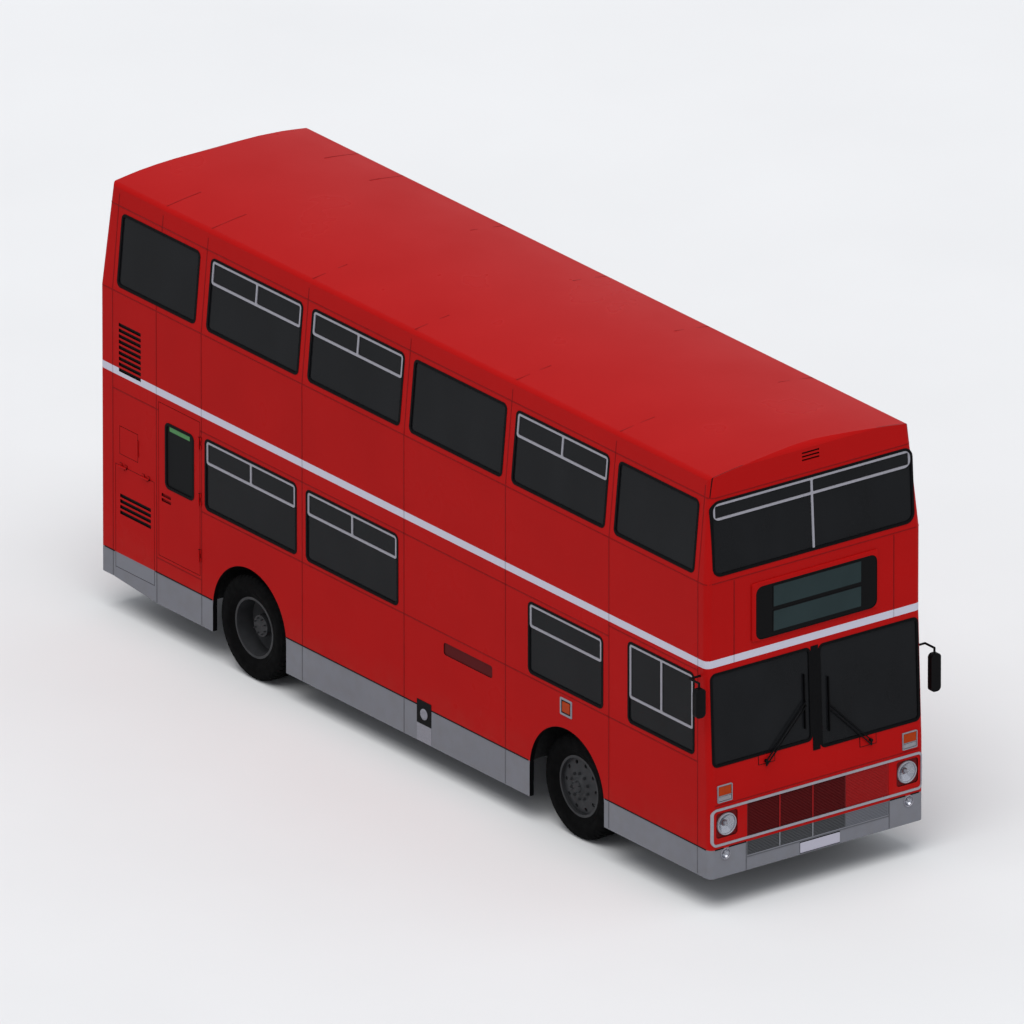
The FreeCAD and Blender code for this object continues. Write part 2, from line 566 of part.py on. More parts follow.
def make_sides(shell, walls):
    exit_hole = ("exit_front", "exit_rear", "exit_low", "exit_high")
    hatch_hole = ("hatch_front", "hatch_rear", "hatch_low", "hatch_high")
    between = (FRONT_SEAM, REAR_SEAM)
    upright = ("skirt_top", "waist")

    out = f"(-{HALF} - hinge_out)"
    strap_x = (f"-{HALF} - hinge_strap", f"-{HALF}")
    still, exit_knuckles, hatch_knuckles = [], [], []
    for i, z in enumerate(("exit_low + 150", "(exit_low + exit_high) / 2 - 60", "exit_high - 270")):
        y = "(exit_front + door_gap / 2)"
        fixed, moving = hinge(f"exit_hinge_{i}", "z", (out, y), z, f"{z} + 120", (strap_x, (f"{y} - 30", y)),
                              (strap_x, (y, f"{y} + 30")))
        still += fixed
        exit_knuckles.append(moving)
    for i, y in enumerate(("hatch_front + 70", "hatch_rear - 190")):
        z = "(hatch_high - door_gap / 2)"
        fixed, moving = hinge(f"hatch_hinge_{i}", "y", (out, z), y, f"{y} + 120", (strap_x, (z, f"{z} + 30")),
                              (strap_x, (f"{z} - 30", z)))
        still += fixed
        hatch_knuckles.append(moving)
    y, z = "(flap_front - 3)", ("flap_low + 60", "flap_high - 60")
    flap_strap = f"-{HALF} - 3"
    fixed, flap_knuckle = hinge("flap_hinge", "z", (f"-{HALF} - flap_hinge_out", y), *z,
                                ((flap_strap, f"-{HALF}"), (f"{y} - 14", y)), ((flap_strap, f"-{HALF}"), (y, f"{y} + 22")),
                                "5", "2")
    still += fixed

    right = common("right_plain", shell, box("right_region", ("-body_width", "0"), between, upright))
    recess = box("flap_recess", (f"-{HALF} - 5", f"-{HALF} + 22"), ("flap_front", "flap_rear"),
                 ("flap_low", "flap_high"))
    side_bar = rounded("side_bar", (f"-{HALF} - 10", f"-{HALF} + side_bar_depth"), ("-side_bar_front", "-side_bar_rear"),
                       ("side_bar_low", "side_bar_high"), "recess_corner", "x")
    wall = cut("right_cut", right, [
        side_bar, walls["lower_right"].hole_tool(), arch_tools("right_arches"), opening("exit_hole", RIGHT, *exit_hole),
        opening("hatch_hole", RIGHT, *hatch_hole), recess,
        *slots("louvre", "louvre_front", "louvre_rear", "louvre_low", "louvre_high")])
    node("side_wall_right", fuse("right_wall", [wall, *still]))

    left = common("left_plain", shell, box("left_region", ("0", "body_width"), between, upright))
    wall = cut("left_cut", left, [
        walls["lower_left"].hole_tool(), arch_tools("left_arches"),
        opening("entrance_hole", LEFT, "-door_front", "-door_rear", "0", "door_high")])
    node("side_wall_left", fuse("left_wall", [wall, *door_pins("top_pin", "door_high - pivot_length", "door_high")]))

    leaned = f"({HALF} - (gutter - waist) * tan(side_lean))"
    slabs = [prism(f"upper_slab_{SIDE_NAME[sign]}", "xz", [
        (f"{sign} * {HALF}", "waist"), (f"{sign} * {leaned}", "gutter"),
        (f"{sign} * ({leaned} - wall)", "gutter"), (f"{sign} * ({HALF} - wall)", "waist")], *between)
        for sign in (RIGHT, LEFT)]
    node("upper_side_walls", cut("upper_cut", group("upper_slabs", slabs), [
        walls["upper_right"].hole_tool(), walls["upper_left"].hole_tool()]))

    skirts = common("skirts_plain", shell, box("skirt_region", WIDE, between, ("skirt_low", "skirt_top")))
    nose_cut = box("skirt_nose_cut", WIDE, (FRONT, f"{axle('front')}"), ("0", "nose_low"))
    tail_cut = prism("skirt_tail_cut", "yz", [
        (axle("rear"), "0"), (REAR, "0"), (REAR, "tail_low + tail_rise"), (REAR_SEAM, "tail_low + tail_rise"),
        ("bulkhead", "tail_low"), (axle("rear"), "tail_low")], *WIDE)
    node("side_skirts", cut("skirts_cut", skirts, [
        arch_tools("skirt_arches"), nose_cut, tail_cut, opening("hatch_skirt", RIGHT, *hatch_hole),
        opening("entrance_skirt", LEFT, "-door_front", "-door_rear", "0", "skirt_top")]))

    exit_leaf = common("exit_plain", shell, leaf_region("exit_region", *exit_hole))
    handle_y = ("handle_front", "handle_rear")
    recess = rounded("handle_recess", (f"-{HALF} - 5", f"-{HALF} + handle_depth"), handle_y,
                     ("handle_low", "handle_high"), "10", "x")
    middle = "(handle_low + handle_high) / 2"
    grip = box("handle_grip", (f"-{HALF}", f"-{HALF} + 7"), handle_y, span(middle, "handle_bar"))
    panel = cut("exit_cut", exit_leaf, [walls["exit"].hole_tool(), recess])
    node("emergency_door", fuse("exit_door", [panel, grip, walls["exit"].placed("panes", walls["exit"].panes),
                                              walls["exit"].placed("rubbers", walls["exit"].rubbers), *exit_knuckles]))
    hatch = common("hatch_plain", shell, leaf_region("hatch_region", *hatch_hole))
    lid = cut("hatch_cut", hatch, slots(
        "hatch_slot", "hatch_louvre_front", "hatch_louvre_rear", "hatch_louvre_low", "hatch_louvre_high"))
    node("engine_hatch", fuse("hatch_lid", [lid, *hatch_knuckles]))
    flap = box("flap", (f"-{HALF}", f"-{HALF} + 8"), ("flap_front + door_gap", "flap_rear - door_gap"),
               ("flap_low + door_gap", "flap_high - door_gap"))
    node("filler_flap", fuse("flap_plate", [flap, flap_knuckle]))


UPPER_GRILLE = ("(surround_low + surround_width)", "(surround_high - surround_width)")
LOWER_GRILLE = ("grille_foot", "skirt_top")
FRONT_LAMPS = {RIGHT: ("-indicator_outer", "-indicator_inner"), LEFT: ("indicator_inner", "indicator_outer")}


def indicator(name, sign, ease):
    """An indicator's block in the front, made larger by an ease for its hole."""
    x = FRONT_LAMPS[sign]
    return rounded(name, (f"{x[0]} - {ease}", f"{x[1]} + {ease}"), (f"{FRONT} - 8", f"{FRONT} + 30 + 60 * {ease}"),
                   (f"indicator_low - {ease}", f"indicator_high + {ease}"), "lamp_corner", "y")


def sign_box(name, ease):
    """The destination box's block, made larger by an ease for its hole."""
    return rounded(name, (f"-box_half - {ease}", f"box_half + {ease}"),
                   (f"{FRONT} + screen_setback - box_proud", f"{FRONT} + screen_setback + wall + 60"),
                   (f"box_low - {ease}", f"box_high + {ease}"), "20", "y")


def lamp_recesses():
    """The square sunk panels that the headlamps sit in."""
    return [rounded(f"lamp_recess_{SIDE_NAME[sign]}", span(f"{sign} * lamp_place", "2 * lamp_recess"),
                    (f"{FRONT} - 10", f"{FRONT} + recess_depth"),
                    ("lamp_height - lamp_recess", "lamp_height + lamp_recess"), "recess_corner", "y")
            for sign in (RIGHT, LEFT)]


def lamp_holes(name, place_text, height, radius):
    return [cylinder(f"{name}_{tag}", radius, f"{FRONT} - 10", f"{FRONT} + 40", "y", (f"{sign} * {place_text}", height))
            for tag, sign in (("right", RIGHT), ("left", LEFT))]


def make_ends(shell, walls):
    roof = common("roof_plain", shell, box("roof_region", WIDE, LONG, ("gutter", "body_height + 100")))
    vents = [box(f"roof_vent_{i}", ("-roof_vent_half", "roof_vent_half"), (FRONT, f"{FRONT} + 130"),
                 (f"roof_vent_low + {i} * roof_vent_pitch", f"roof_vent_low + {i} * roof_vent_pitch + roof_vent_slot"))
             for i in range(3)]
    node("roof", cut("roof_cut", roof, vents))

    front_upper = common("front_upper_plain", shell, box("front_upper_region", WIDE, (f"{FRONT} - 10", FRONT_SEAM),
                                                         ("waist", "gutter")))
    node("front_upper_panel", cut("front_upper_cut", front_upper, [walls["top_screen"].hole_tool()]))

    front_lower = common("front_lower_plain", shell, box("front_lower_region", WIDE, (f"{FRONT} - 10", FRONT_SEAM),
                                                         ("skirt_top", "waist")))
    grille_x, grille_y = ("-grille_left", "grille_right"), (f"{FRONT} - 10", f"{FRONT} + 100")
    grille_hole = box("grille_hole", grille_x, grille_y, UPPER_GRILLE)
    node("front_lower_panel", cut("front_lower_cut", front_lower, [
        walls["screen"].hole_tool(), sign_box("box_hole", "lamp_ease"), grille_hole,
        *[indicator(f"indicator_hole_{SIDE_NAME[sign]}", sign, "lamp_ease") for sign in (RIGHT, LEFT)],
        *lamp_recesses(), *lamp_holes("lamp_hole", "lamp_place", "lamp_height", "lamp_radius")]))

    rear = common("rear_plain", shell, box("rear_region", WIDE, (REAR_SEAM, f"{REAR} + 10"), ("skirt_top", "gutter")))
    bonnet_hole = box("bonnet_hole", ("-bonnet_half", "bonnet_half"), (f"{REAR} - wall - 20", f"{REAR} + 20"),
                      ("bonnet_low", "bonnet_high"))
    y, z = f"({REAR} + hinge_out)", "(bonnet_high - door_gap / 2)"
    strap_y = (REAR, f"{REAR} + hinge_strap")
    still, knuckles = [], []
    for i, x in enumerate(("-bonnet_half + 120", "bonnet_half - 240")):
        fixed, moving = hinge(f"bonnet_hinge_{i}", "x", (y, z), x, f"{x} + 120", (strap_y, (z, f"{z} + 30")),
                              (strap_y, (f"{z} - 30", z)))
        still += fixed
        knuckles.append(moving)
    panel = cut("rear_cut", rear, [walls["back"].hole_tool(), walls["top_back"].hole_tool(), bonnet_hole])
    node("rear_panel", fuse("rear_wall", [panel, *still]))
    bonnet_space = box("bonnet_space", ("-bonnet_half + door_gap", "bonnet_half - door_gap"),
                       (f"{REAR} - wall - 20", f"{REAR} + 20"), ("bonnet_low + door_gap", "bonnet_high - door_gap"))
    count = int(number("(bonnet_louvre_high - bonnet_louvre_low) / slot_pitch"))
    louvres = [box(f"bonnet_louvre_{i}", ("-bonnet_louvre_half", "bonnet_louvre_half"),
                   (f"{REAR} - slot_depth", f"{REAR} + 1"),
                   (f"bonnet_louvre_low + {i} * slot_pitch", f"bonnet_louvre_low + {i} * slot_pitch + slot_height"))
               for i in range(count)]
    lid = cut("bonnet_cut", common("bonnet", shell, bonnet_space), louvres)
    node("rear_bonnet", fuse("bonnet_lid", [lid, *knuckles]))

    nose = common("nose_plain", shell, box("nose_region", WIDE, (f"{FRONT} - 10", FRONT_SEAM), ("nose_low", "skirt_top")))
    node("front_bumper", cut("nose_cut", nose, [
        box("lower_grille_hole", grille_x, grille_y, LOWER_GRILLE),
        *lamp_holes("fog_hole", "fog_place", "fog_height", "fog_radius")]))
    node("rear_bumper", common("tail_bumper", shell, box("tail_region", WIDE, (REAR_SEAM, f"{REAR} + 10"),
                                                         ("tail_low + tail_rise", "skirt_top"))))


def make_glazing(walls):
    sides = ("lower_right", "lower_left", "upper_right", "upper_left")
    node("side_windows", group("side_glass", [walls[w].placed("panes", walls[w].panes) for w in sides]))
    node("front_windows", group("front_glass", [walls[w].placed("panes", walls[w].panes)
                                                for w in ("screen", "top_screen")]))
    node("rear_windows", group("rear_glass", [walls[w].placed("panes", walls[w].panes)
                                              for w in ("back", "top_back")]))
    fixed = [w for w in walls if w != "exit"]
    node("window_rubbers", group("rubbers", [walls[w].placed("rubbers", walls[w].rubbers) for w in fixed]))
    node("vent_frames", group("vents", [walls[w].placed("vents", walls[w].vents) for w in fixed if walls[w].vents]))


def slatted(name, low, high):
    """A grille that fills its hole from low to high: sloping slats between upright bars in front of a back
    plate, and beyond them a shallow panel of closed slats."""
    face = f"({FRONT} + slat_set)"
    back, shut_back = f"({FRONT} + grille_depth)", f"({FRONT} + grille_shut_depth)"
    parts = [
        box(f"{name}_back", ("-grille_left", "grille_shut"), (back, f"{back} + grille_back"), (low, high)),
        box(f"{name}_shut_back", ("grille_shut - grille_bar", "grille_right"), (shut_back, f"{back} + grille_back"),
            (low, high)),
    ]
    posts = ("-grille_left", "-grille_first_bar - grille_bar / 2", "-grille_second_bar - grille_bar / 2",
             "grille_shut - grille_bar", "grille_right - grille_bar")
    for i, x in enumerate(posts):
        parts.append(box(f"{name}_post_{i}", (x, f"{x} + grille_bar"), (face, f"{back} + grille_back"), (low, high)))
    for i in range(int(number(f"({high} - {low}) / slat_pitch"))):
        foot = f"({low} + {i} * slat_pitch + (slat_pitch - slat_lip) / 2)"
        parts.append(prism(f"{name}_slat_{i}", "yz", [
            (face, foot), (f"{back} + 1", f"{foot} + slat_fall"), (f"{back} + 1", f"{foot} + slat_fall + slat_lip"),
            (face, f"{foot} + slat_lip")], "-grille_left", "grille_shut"))
        shut_foot = f"({low} + {i} * slat_pitch + (slat_pitch - slat_shut_lip) / 2)"
        parts.append(box(f"{name}_shut_slat_{i}", ("grille_shut", "grille_right"), (face, f"{shut_back} + 1"),
                         (shut_foot, f"{shut_foot} + slat_shut_lip")))
    hole = box(f"{name}_hole", ("-grille_left", "grille_right"), (face, f"{back} + grille_back"), (low, high))
    return common(name, fuse(f"{name}_slats", parts), hole)


def make_front_fittings():
    node("destination_box", sign_box("destination", "0"))
    node("front_grille", group("grilles", [slatted("upper_grille", *UPPER_GRILLE), slatted("lower_grille", *LOWER_GRILLE)]))
    lamps = []
    for tag, where, height, radius in (("lamp", "lamp_place", "lamp_height", "lamp_radius"),
                                       ("fog", "fog_place", "fog_height", "fog_radius")):
        for side, sign in (("right", RIGHT), ("left", LEFT)):
            lamps.append(cylinder(f"{tag}_glass_{side}", f"{radius} - lamp_ease", f"{FRONT} - 6", f"{FRONT} + 40", "y",
                                  (f"{sign} * {where}", height)))
    node("headlamps", group("front_lamps", lamps))


# ---------------------------------------------------------------- floors and inside
def wheelhouse(name, which, inner, sign):
    """A box over a wheel, open below and towards the arch."""
    x = (inner, f"{HALF} - wall") if sign == LEFT else (f"-({HALF} - wall)", f"-{inner}")
    hollow_x = (f"{inner} + panel", f"{HALF}") if sign == LEFT else (f"-({HALF})", f"-{inner} - panel")
    centre = axle(which)
    y = (f"{centre} - house_half", f"{centre} + house_half")
    low = "floor_top - floor_thick"
    outside = rounded(name + "_out", x, y, (low, "house_top"), "60", "x")
    floor_y = (f"{centre} - house_half + panel", f"{centre} + house_half - panel")
    hollow = rounded(name + "_in", hollow_x, floor_y, (f"{low} - 100", "house_top - panel"), "45", "x")
    trim = box(name + "_trim", x, y, (low, f"{low} + 62"))
    inner_trim = box(name + "_inner_trim", hollow_x, floor_y, (f"{low} - 1", f"{low} + 63"))
    return cut(name, fuse(name + "_solid", [outside, trim]), [hollow, inner_trim])


def make_floors(inner):
    floor_z = ("floor_top - floor_thick", "floor_top")
    plate = common("floor_plate", inner, box("floor_region", WIDE, (f"{FRONT}", "bulkhead"), floor_z))
    tools = []
    houses = []
    for which, reach in (("front", "house_inner_front"), ("rear", "house_inner_rear")):
        centre = axle(which)
        for tag, sign in (("right", RIGHT), ("left", LEFT)):
            x = (reach, HALF) if sign == LEFT else (f"-{HALF}", f"-{reach}")
            tools.append(box(f"floor_{which}_{tag}", x, (f"{centre} - house_half", f"{centre} + house_half"),
                             ("floor_top - floor_thick - 1", "floor_top + 1")))
            houses.append(wheelhouse(f"house_{which}_{tag}", which, reach, sign))
    tools.append(box("floor_step", ("step_inner", HALF), ("-door_front - 20", "-door_rear + 20"),
                     ("floor_top - floor_thick - 1", "floor_top + 1")))
    node("lower_floor", cut("floor", plate, tools))
    node("wheelhouses", group("houses", houses))

    doorway = ("-door_front", "-door_rear")
    tread = box("entry_tread", ("step_inner", f"{HALF} - 4"), doorway, ("step_top - 25", "step_top"))
    riser = box("entry_riser", ("step_inner", "step_inner + panel"), doorway, ("step_top", "floor_top"))
    cheeks = [box(f"entry_cheek_{i}", ("step_inner", f"{HALF} - wall"), y, ("step_top - 25", "floor_top"))
              for i, y in enumerate((("-door_front - 20", "-door_front"), ("-door_rear", "-door_rear + 20")))]
    node("entrance_step", fuse("entry", [tread, riser, *cheeks, *door_pins("foot_pin", "step_top", "step_top + pivot_length")]))

    deck = common("deck_plate", inner, box("deck_region", WIDE, LONG, ("deck_top - deck_thick", "deck_top")))
    well = box("stair_well", (f"-{HALF}", "stair_inner"),
               ("stair_low - 240", "stair_low + stair_tread * (stair_steps - 1) + panel"),
               ("deck_top - deck_thick - 1", "deck_top + 1"))
    node("upper_floor", cut("deck", deck, [well]))


def make_stairs():
    rise = "(deck_top - floor_top) / stair_steps"
    parts = []
    for i in range(int(number("stair_steps"))):
        front = f"stair_low + {i} * stair_tread"
        foot = f"floor_top + {i} * {rise}"
        parts.append(box(f"riser_{i}", ("stair_outer", "stair_inner"), (front, f"{front} + panel"), (foot, f"{foot} + {rise}")))
        if i < int(number("stair_steps")) - 1:
            parts.append(box(f"tread_{i}", ("stair_outer", "stair_inner"), (front, f"{front} + stair_tread + panel"),
                             (f"{foot} + {rise} - 25", f"{foot} + {rise}")))
    node("staircase", fuse("stairs", parts))


def make_bulkheads(inner):
    parts = [
        box("engine_wall", WIDE, ("bulkhead", "bulkhead + panel"), ("floor_top - floor_thick", "engine_deck")),
        box("engine_top", WIDE, ("bulkhead + panel", REAR), ("engine_deck - panel", "engine_deck")),
    ]
    engine_box = common("engine_box", fuse("engine_panels", parts), inner)
    cab_back = box("cab_back", (f"-({HALF} - wall)", "-380"), ("-3240", "-3220"), ("floor_top", "deck_top - deck_thick"))
    cab_side = box("cab_side", ("-400", "-380"), ("-4420", "-3240"), ("floor_top", "floor_top + 1000"))
    node("bulkheads", group("bulkhead_walls", [engine_box, fuse("cab_walls", [cab_back, cab_side])]))


def seat(name, x, y, base):
    """A double seat facing forwards: two cushions, and the frame that carries them on one leg. The cushion's
    back edge is at y."""
    pan = f"({base} + seat_height)"
    top = f"({pan} + seat_pad + seat_back)"
    pad = rounded(name + "_pad", x, (f"{y} - seat_depth", f"{y} - seat_gap"), (f"{pan} + seat_gap", f"{pan} + seat_pad"),
                  "30", "x")
    back = prism(name + "_back", "yz", [
        (y, f"{pan} + seat_gap"), (f"{y} + 60", f"{pan} + seat_gap"), (f"{y} + 140", top), (f"{y} + 90", top)], *x)
    frame = prism(name + "_pan", "yz", [
        (f"{y} - seat_depth + 40", f"{pan} - 25"), (f"{y} + 82", f"{pan} - 25"), (f"{y} + 166", f"{top} + 20"),
        (f"{y} + 143.5", f"{top} + 20"), (f"{y} + 60.5", pan), (f"{y} - seat_depth + 40", pan)], *x)
    leg = box(name + "_leg", (f"({x[0]} + {x[1]}) / 2 - 50", f"({x[0]} + {x[1]}) / 2 + 50"), (f"{y} - 300", f"{y} + 20"),
              (base, f"{pan} - 25"))
    return [pad, back], fuse(name + "_frame", [frame, leg])


SEAT_X = {RIGHT: ("-seat_side - seat_width", "-seat_side"), LEFT: ("seat_side", "seat_side + seat_width")}
LOWER_ROWS = {LEFT: range(5), RIGHT: range(3, 5)}
UPPER_ROWS = {LEFT: range(11), RIGHT: (0, 1, 2, 6, 7, 8, 9, 10)}


def make_seats():
    lower, upper, frames = [], [], []
    places = [(f"low_{SIDE_NAME[sign]}_{i}", SEAT_X[sign], f"(-1350 + {i} * seat_pitch)", "floor_top", lower)
              for sign, rows in LOWER_ROWS.items() for i in rows]
    places += [(f"top_{SIDE_NAME[sign]}_{i}", SEAT_X[sign], f"(-3750 + {i} * seat_pitch)", "deck_top", upper)
               for sign, rows in UPPER_ROWS.items() for i in rows]
    places.append(("low_tail", SEAT_X[LEFT], "(bulkhead - 170)", "floor_top", lower))
    places.append(("driver", ("-1020", "-560"), "(-3500)", "(floor_top + 90)", lower))
    for name, x, y, base, kept in places:
        cushions, frame = seat(f"{name}_seat", x, y, base)
        kept += cushions
        frames.append(frame)
    frames.append(box("driver_plinth", ("-1000", "-580"), ("-3900", "-3440"), ("floor_top", "floor_top + 90")))
    node("seats_lower", group("low_seats", lower))
    node("seats_upper", group("top_seats", upper))
    node("seat_frames", group("frames", frames))


# ---------------------------------------------------------------- chassis, axles and wheels
def make_chassis():
    rail_z = ("floor_top - floor_thick - 110", "floor_top - floor_thick")
    rails = []
    for tag, sign in (("right", RIGHT), ("left", LEFT)):
        x = ("300", "380") if sign == LEFT else ("-380", "-300")
        for i, y in enumerate(((f"{FRONT} + 300", f"{axle('front')} - 300"),
                               (f"{axle('front')} + 300", f"{axle('rear')} - 330"),
                               (f"{axle('rear')} + 330", "bulkhead + engine_gap"))):
            rails.append(box(f"rail_{tag}_{i}", x, y, rail_z))
    cross = []
    for i, y in enumerate(("-3800", "-1700", "-600", "500", "1500", "3400")):
        cross.append(box(f"cross_{i}", (f"-({HALF} - wall)", f"{HALF} - wall") if i not in (0,) else (f"-({HALF} - wall)", "650"),
                         (y, f"{y} + 60"), rail_z))
    node("chassis_frame", fuse("frame", rails + cross))
    node("engine_block", rounded("engine", ("-650", "550"), ("bulkhead + engine_gap", "bulkhead + engine_gap + 600"), ("430", "1250"), "40", "y"))


def make_axles():
    front, rear = axle("front"), axle("rear")
    beam = rounded("front_beam", ("-kingpin_place", "kingpin_place"), (f"{front} - 45", f"{front} + 45"),
                   ("axle_height - 60", "axle_height + 30"), "12", "x")
    eyes = [cylinder(f"eye_{t}", "45", "axle_height - 60", "axle_height + 60", "z", (f"{s} * kingpin_place", front))
            for t, s in (("right", RIGHT), ("left", LEFT))]
    pins = [cylinder(f"pin_{t}", "kingpin_radius", "axle_height - 110", "axle_height + 102", "z",
                     (f"{s} * kingpin_place", front))
            for t, s in (("right", RIGHT), ("left", LEFT))]
    pads = [rounded(f"jacking_pad_{t}", span(f"{s} * jacking_place", "jacking_pad"),
                    (f"{front} - 40", f"{front} + 40"), ("axle_height - 60 - pad_depth", "axle_height - 40"), "8", "z")
            for t, s in (("right", RIGHT), ("left", LEFT))]
    node("front_axle", fuse("front_axle_solid", [beam, *eyes, *pins, *pads]))

    tube_ends = []
    for t, s in (("right", RIGHT), ("left", LEFT)):
        inner_x, outer_x = "500", "rear_track + 5"
        x = (inner_x, outer_x) if s == LEFT else (f"-({outer_x})", f"-{inner_x}")
        tube_ends.append(cylinder(f"rear_stub_{t}", "tube_radius", *x, "x", (rear, "axle_height")))
        leg_x = ("440", "520") if s == LEFT else ("-520", "-440")
        tube_ends.append(rounded(f"rear_leg_{t}", leg_x, (f"{rear} - 80", f"{rear} + 80"),
                                 ("axle_height - 205", "axle_height + 76"), "30", "x"))
    beam = rounded("rear_beam", ("-470", "470"), (f"{rear} - 70", f"{rear} + 70"), ("axle_height - 190", "axle_height - 40"),
                   "18", "x")
    drum = cylinder("rear_diff", "150", "-150", "150", "x", (rear, "axle_height - 90"))
    node("rear_axle", fuse("rear_axle_solid", [*tube_ends, beam, drum]))

    springs = []
    for t, s in (("right", RIGHT), ("left", LEFT)):
        for which, foot in (("front", "axle_height + 30"), ("rear", "axle_height - 40")):
            springs.append(cylinder(f"spring_{which}_{t}", "85", foot, "floor_top - floor_thick", "z",
                                    (f"{s} * 340", axle(which))))
    node("air_springs", group("springs", springs))


def tyre(name, centre):
    """A tyre turned about the axle: crown, shoulders, bulged side walls and beads."""
    half = "tyre_width / 2"
    return turned(name, [
        (f"{centre} - {half} + 34", "rim_radius"), (f"{centre} + {half} - 34", "rim_radius"),
        (f"{centre} + {half}", "rim_radius + 95"), (f"{centre} + {half} - 8", "tyre_radius - 40"),
        (f"{centre} + {half} - 34", "tyre_radius - 6"), (f"{centre} + {half} - 60", "tyre_radius"),
        (f"{centre} - {half} + 60", "tyre_radius"), (f"{centre} - {half} + 34", "tyre_radius - 6"),
        (f"{centre} - {half} + 8", "tyre_radius - 40"), (f"{centre} - {half}", "rim_radius + 95"),
    ])


def front_rim(name):
    """A disc wheel that bulges outwards, with a ring of hand holes, on a hub that turns on the stub axle and
    closes over its end."""
    c = "front_track"
    half = "(tyre_width / 2 - 34)"
    holes = []
    for i in range(int(number("hand_holes"))):
        turn = f"({i} * 360 / hand_holes)"
        holes.append(cylinder(f"{name}_hand_hole_{i}", "hand_hole_radius", f"{c} + 30", f"{c} + 120", "x",
                              (f"hand_hole_place * cos({turn})", f"hand_hole_place * sin({turn})")))
    disc = turned(f"{name}_disc", [
        (f"{c} - {half}", "rim_radius"), (f"{c} - {half}", "rim_radius - 24"), (f"{c} + 50", "rim_radius - 24"),
        (f"{c} + 72", "150"), (f"{c} - 20", "150"), (f"{c} - 20", "stub_radius + hub_gap"),
        (f"{c} + 112", "stub_radius + hub_gap"), (f"{c} + 112", "0"), (f"{c} + 132", "0"), (f"{c} + 126", "70"),
        (f"{c} + 106", "92"), (f"{c} + 90", "150"), (f"{c} + 70", "rim_radius - 24"),
        (f"{c} + {half}", "rim_radius - 24"), (f"{c} + {half}", "rim_radius"),
    ])
    return group(name, [cut(f"{name}_pierced", disc, holes)])


def rear_rims(name):
    """Two rims back to back on one hub: their discs meet between the tyres, so the outer one is dished in."""
    out, low = "rear_track", "(rear_track - twin_spacing)"
    mid = "(rear_track - twin_spacing / 2)"
    half = "(tyre_width / 2 - 34)"
    return turned(name, [
        (f"{out} + {half}", "rim_radius"), (f"{out} + {half}", "rim_radius - 24"),
        (f"{out} - {half} + 20", "rim_radius - 24"), (f"{mid} + 16", "160"), (f"{mid} + 16", "120"),
        (f"{mid} + 190", "105"), (f"{mid} + 196", "0"), (f"{mid} + 172", "0"),
        (f"{mid} + 172", "tube_radius + hub_gap"), (f"{mid} - 150", "tube_radius + hub_gap"), (f"{mid} - 150", "150"),
        (f"{mid} - 16", "150"), (f"{mid} - 16", "170"), (f"{low} + {half} - 20", "rim_radius - 24"),
        (f"{low} - {half}", "rim_radius - 24"), (f"{low} - {half}", "rim_radius"), (f"{low} + {half}", "rim_radius"),
        (mid, "200"), (f"{out} - {half}", "rim_radius"),
    ])


def on_axle(shape, sign, which):
    """Puts a turned piece at its axle, and turns it round for the right side."""
    return place(shape, 0, axle(which), "axle_height", (0, 0, 1), 180 if sign == RIGHT else 0)


def make_wheels():
    for sign in (RIGHT, LEFT):
        side = SIDE_NAME[sign]
        node(f"front_tyre_{side}", on_axle(tyre(f"tyre_front_{side}", "front_track"), sign, "front"))
        node(f"front_rim_{side}", on_axle(front_rim(f"rim_front_{side}"), sign, "front"))
        twins = [tyre(f"tyre_rear_{side}_{i}", f"(rear_track - {i} * twin_spacing)") for i in range(2)]
        node(f"rear_tyres_{side}", on_axle(group(f"twin_{side}", twins), sign, "rear"))
        node(f"rear_rims_{side}", on_axle(rear_rims(f"rims_rear_{side}"), sign, "rear"))


def make_knuckles():
    front = axle("front")
    fit = "kingpin_radius + pin_gap"
    for sign in (RIGHT, LEFT):
        side = SIDE_NAME[sign]

        def x(low, high):
            return (low, high) if sign == LEFT else (f"-({high})", f"-({low})")

        across = (f"{front} - 45", f"{front} + 45")
        ears = [rounded(f"ear_{side}_{i}", x("kingpin_place - 42", "kingpin_place + 70"), across, z, "20", "z")
                for i, z in enumerate((("axle_height + 60.3", "axle_height + 96"), ("axle_height - 104", "axle_height - 60.3")))]
        plate = box(f"knuckle_plate_{side}", x("kingpin_place + 52", "kingpin_place + 70"), across,
                    ("axle_height - 104", "axle_height + 96"))
        flange = cylinder(f"knuckle_flange_{side}", "85", *x("kingpin_place + 70", "kingpin_place + 90"), "x",
                          (front, "axle_height"))
        stub = cylinder(f"stub_{side}", "stub_radius", *x("kingpin_place + 80", "front_track + 108"), "x",
                        (front, "axle_height"))
        bore = cylinder(f"knuckle_bore_{side}", fit, "axle_height - 130", "axle_height + 130", "z",
                        (f"{sign} * kingpin_place", front))
        node(f"knuckle_{side}", cut(f"knuckle_cut_{side}", fuse(f"knuckle_solid_{side}", [*ears, plate, flange, stub]),
                                    [bore]))


# ---------------------------------------------------------------- cab
WHEEL_SPOT = ("-790", "-4130", "1400")       # centre of the steering wheel


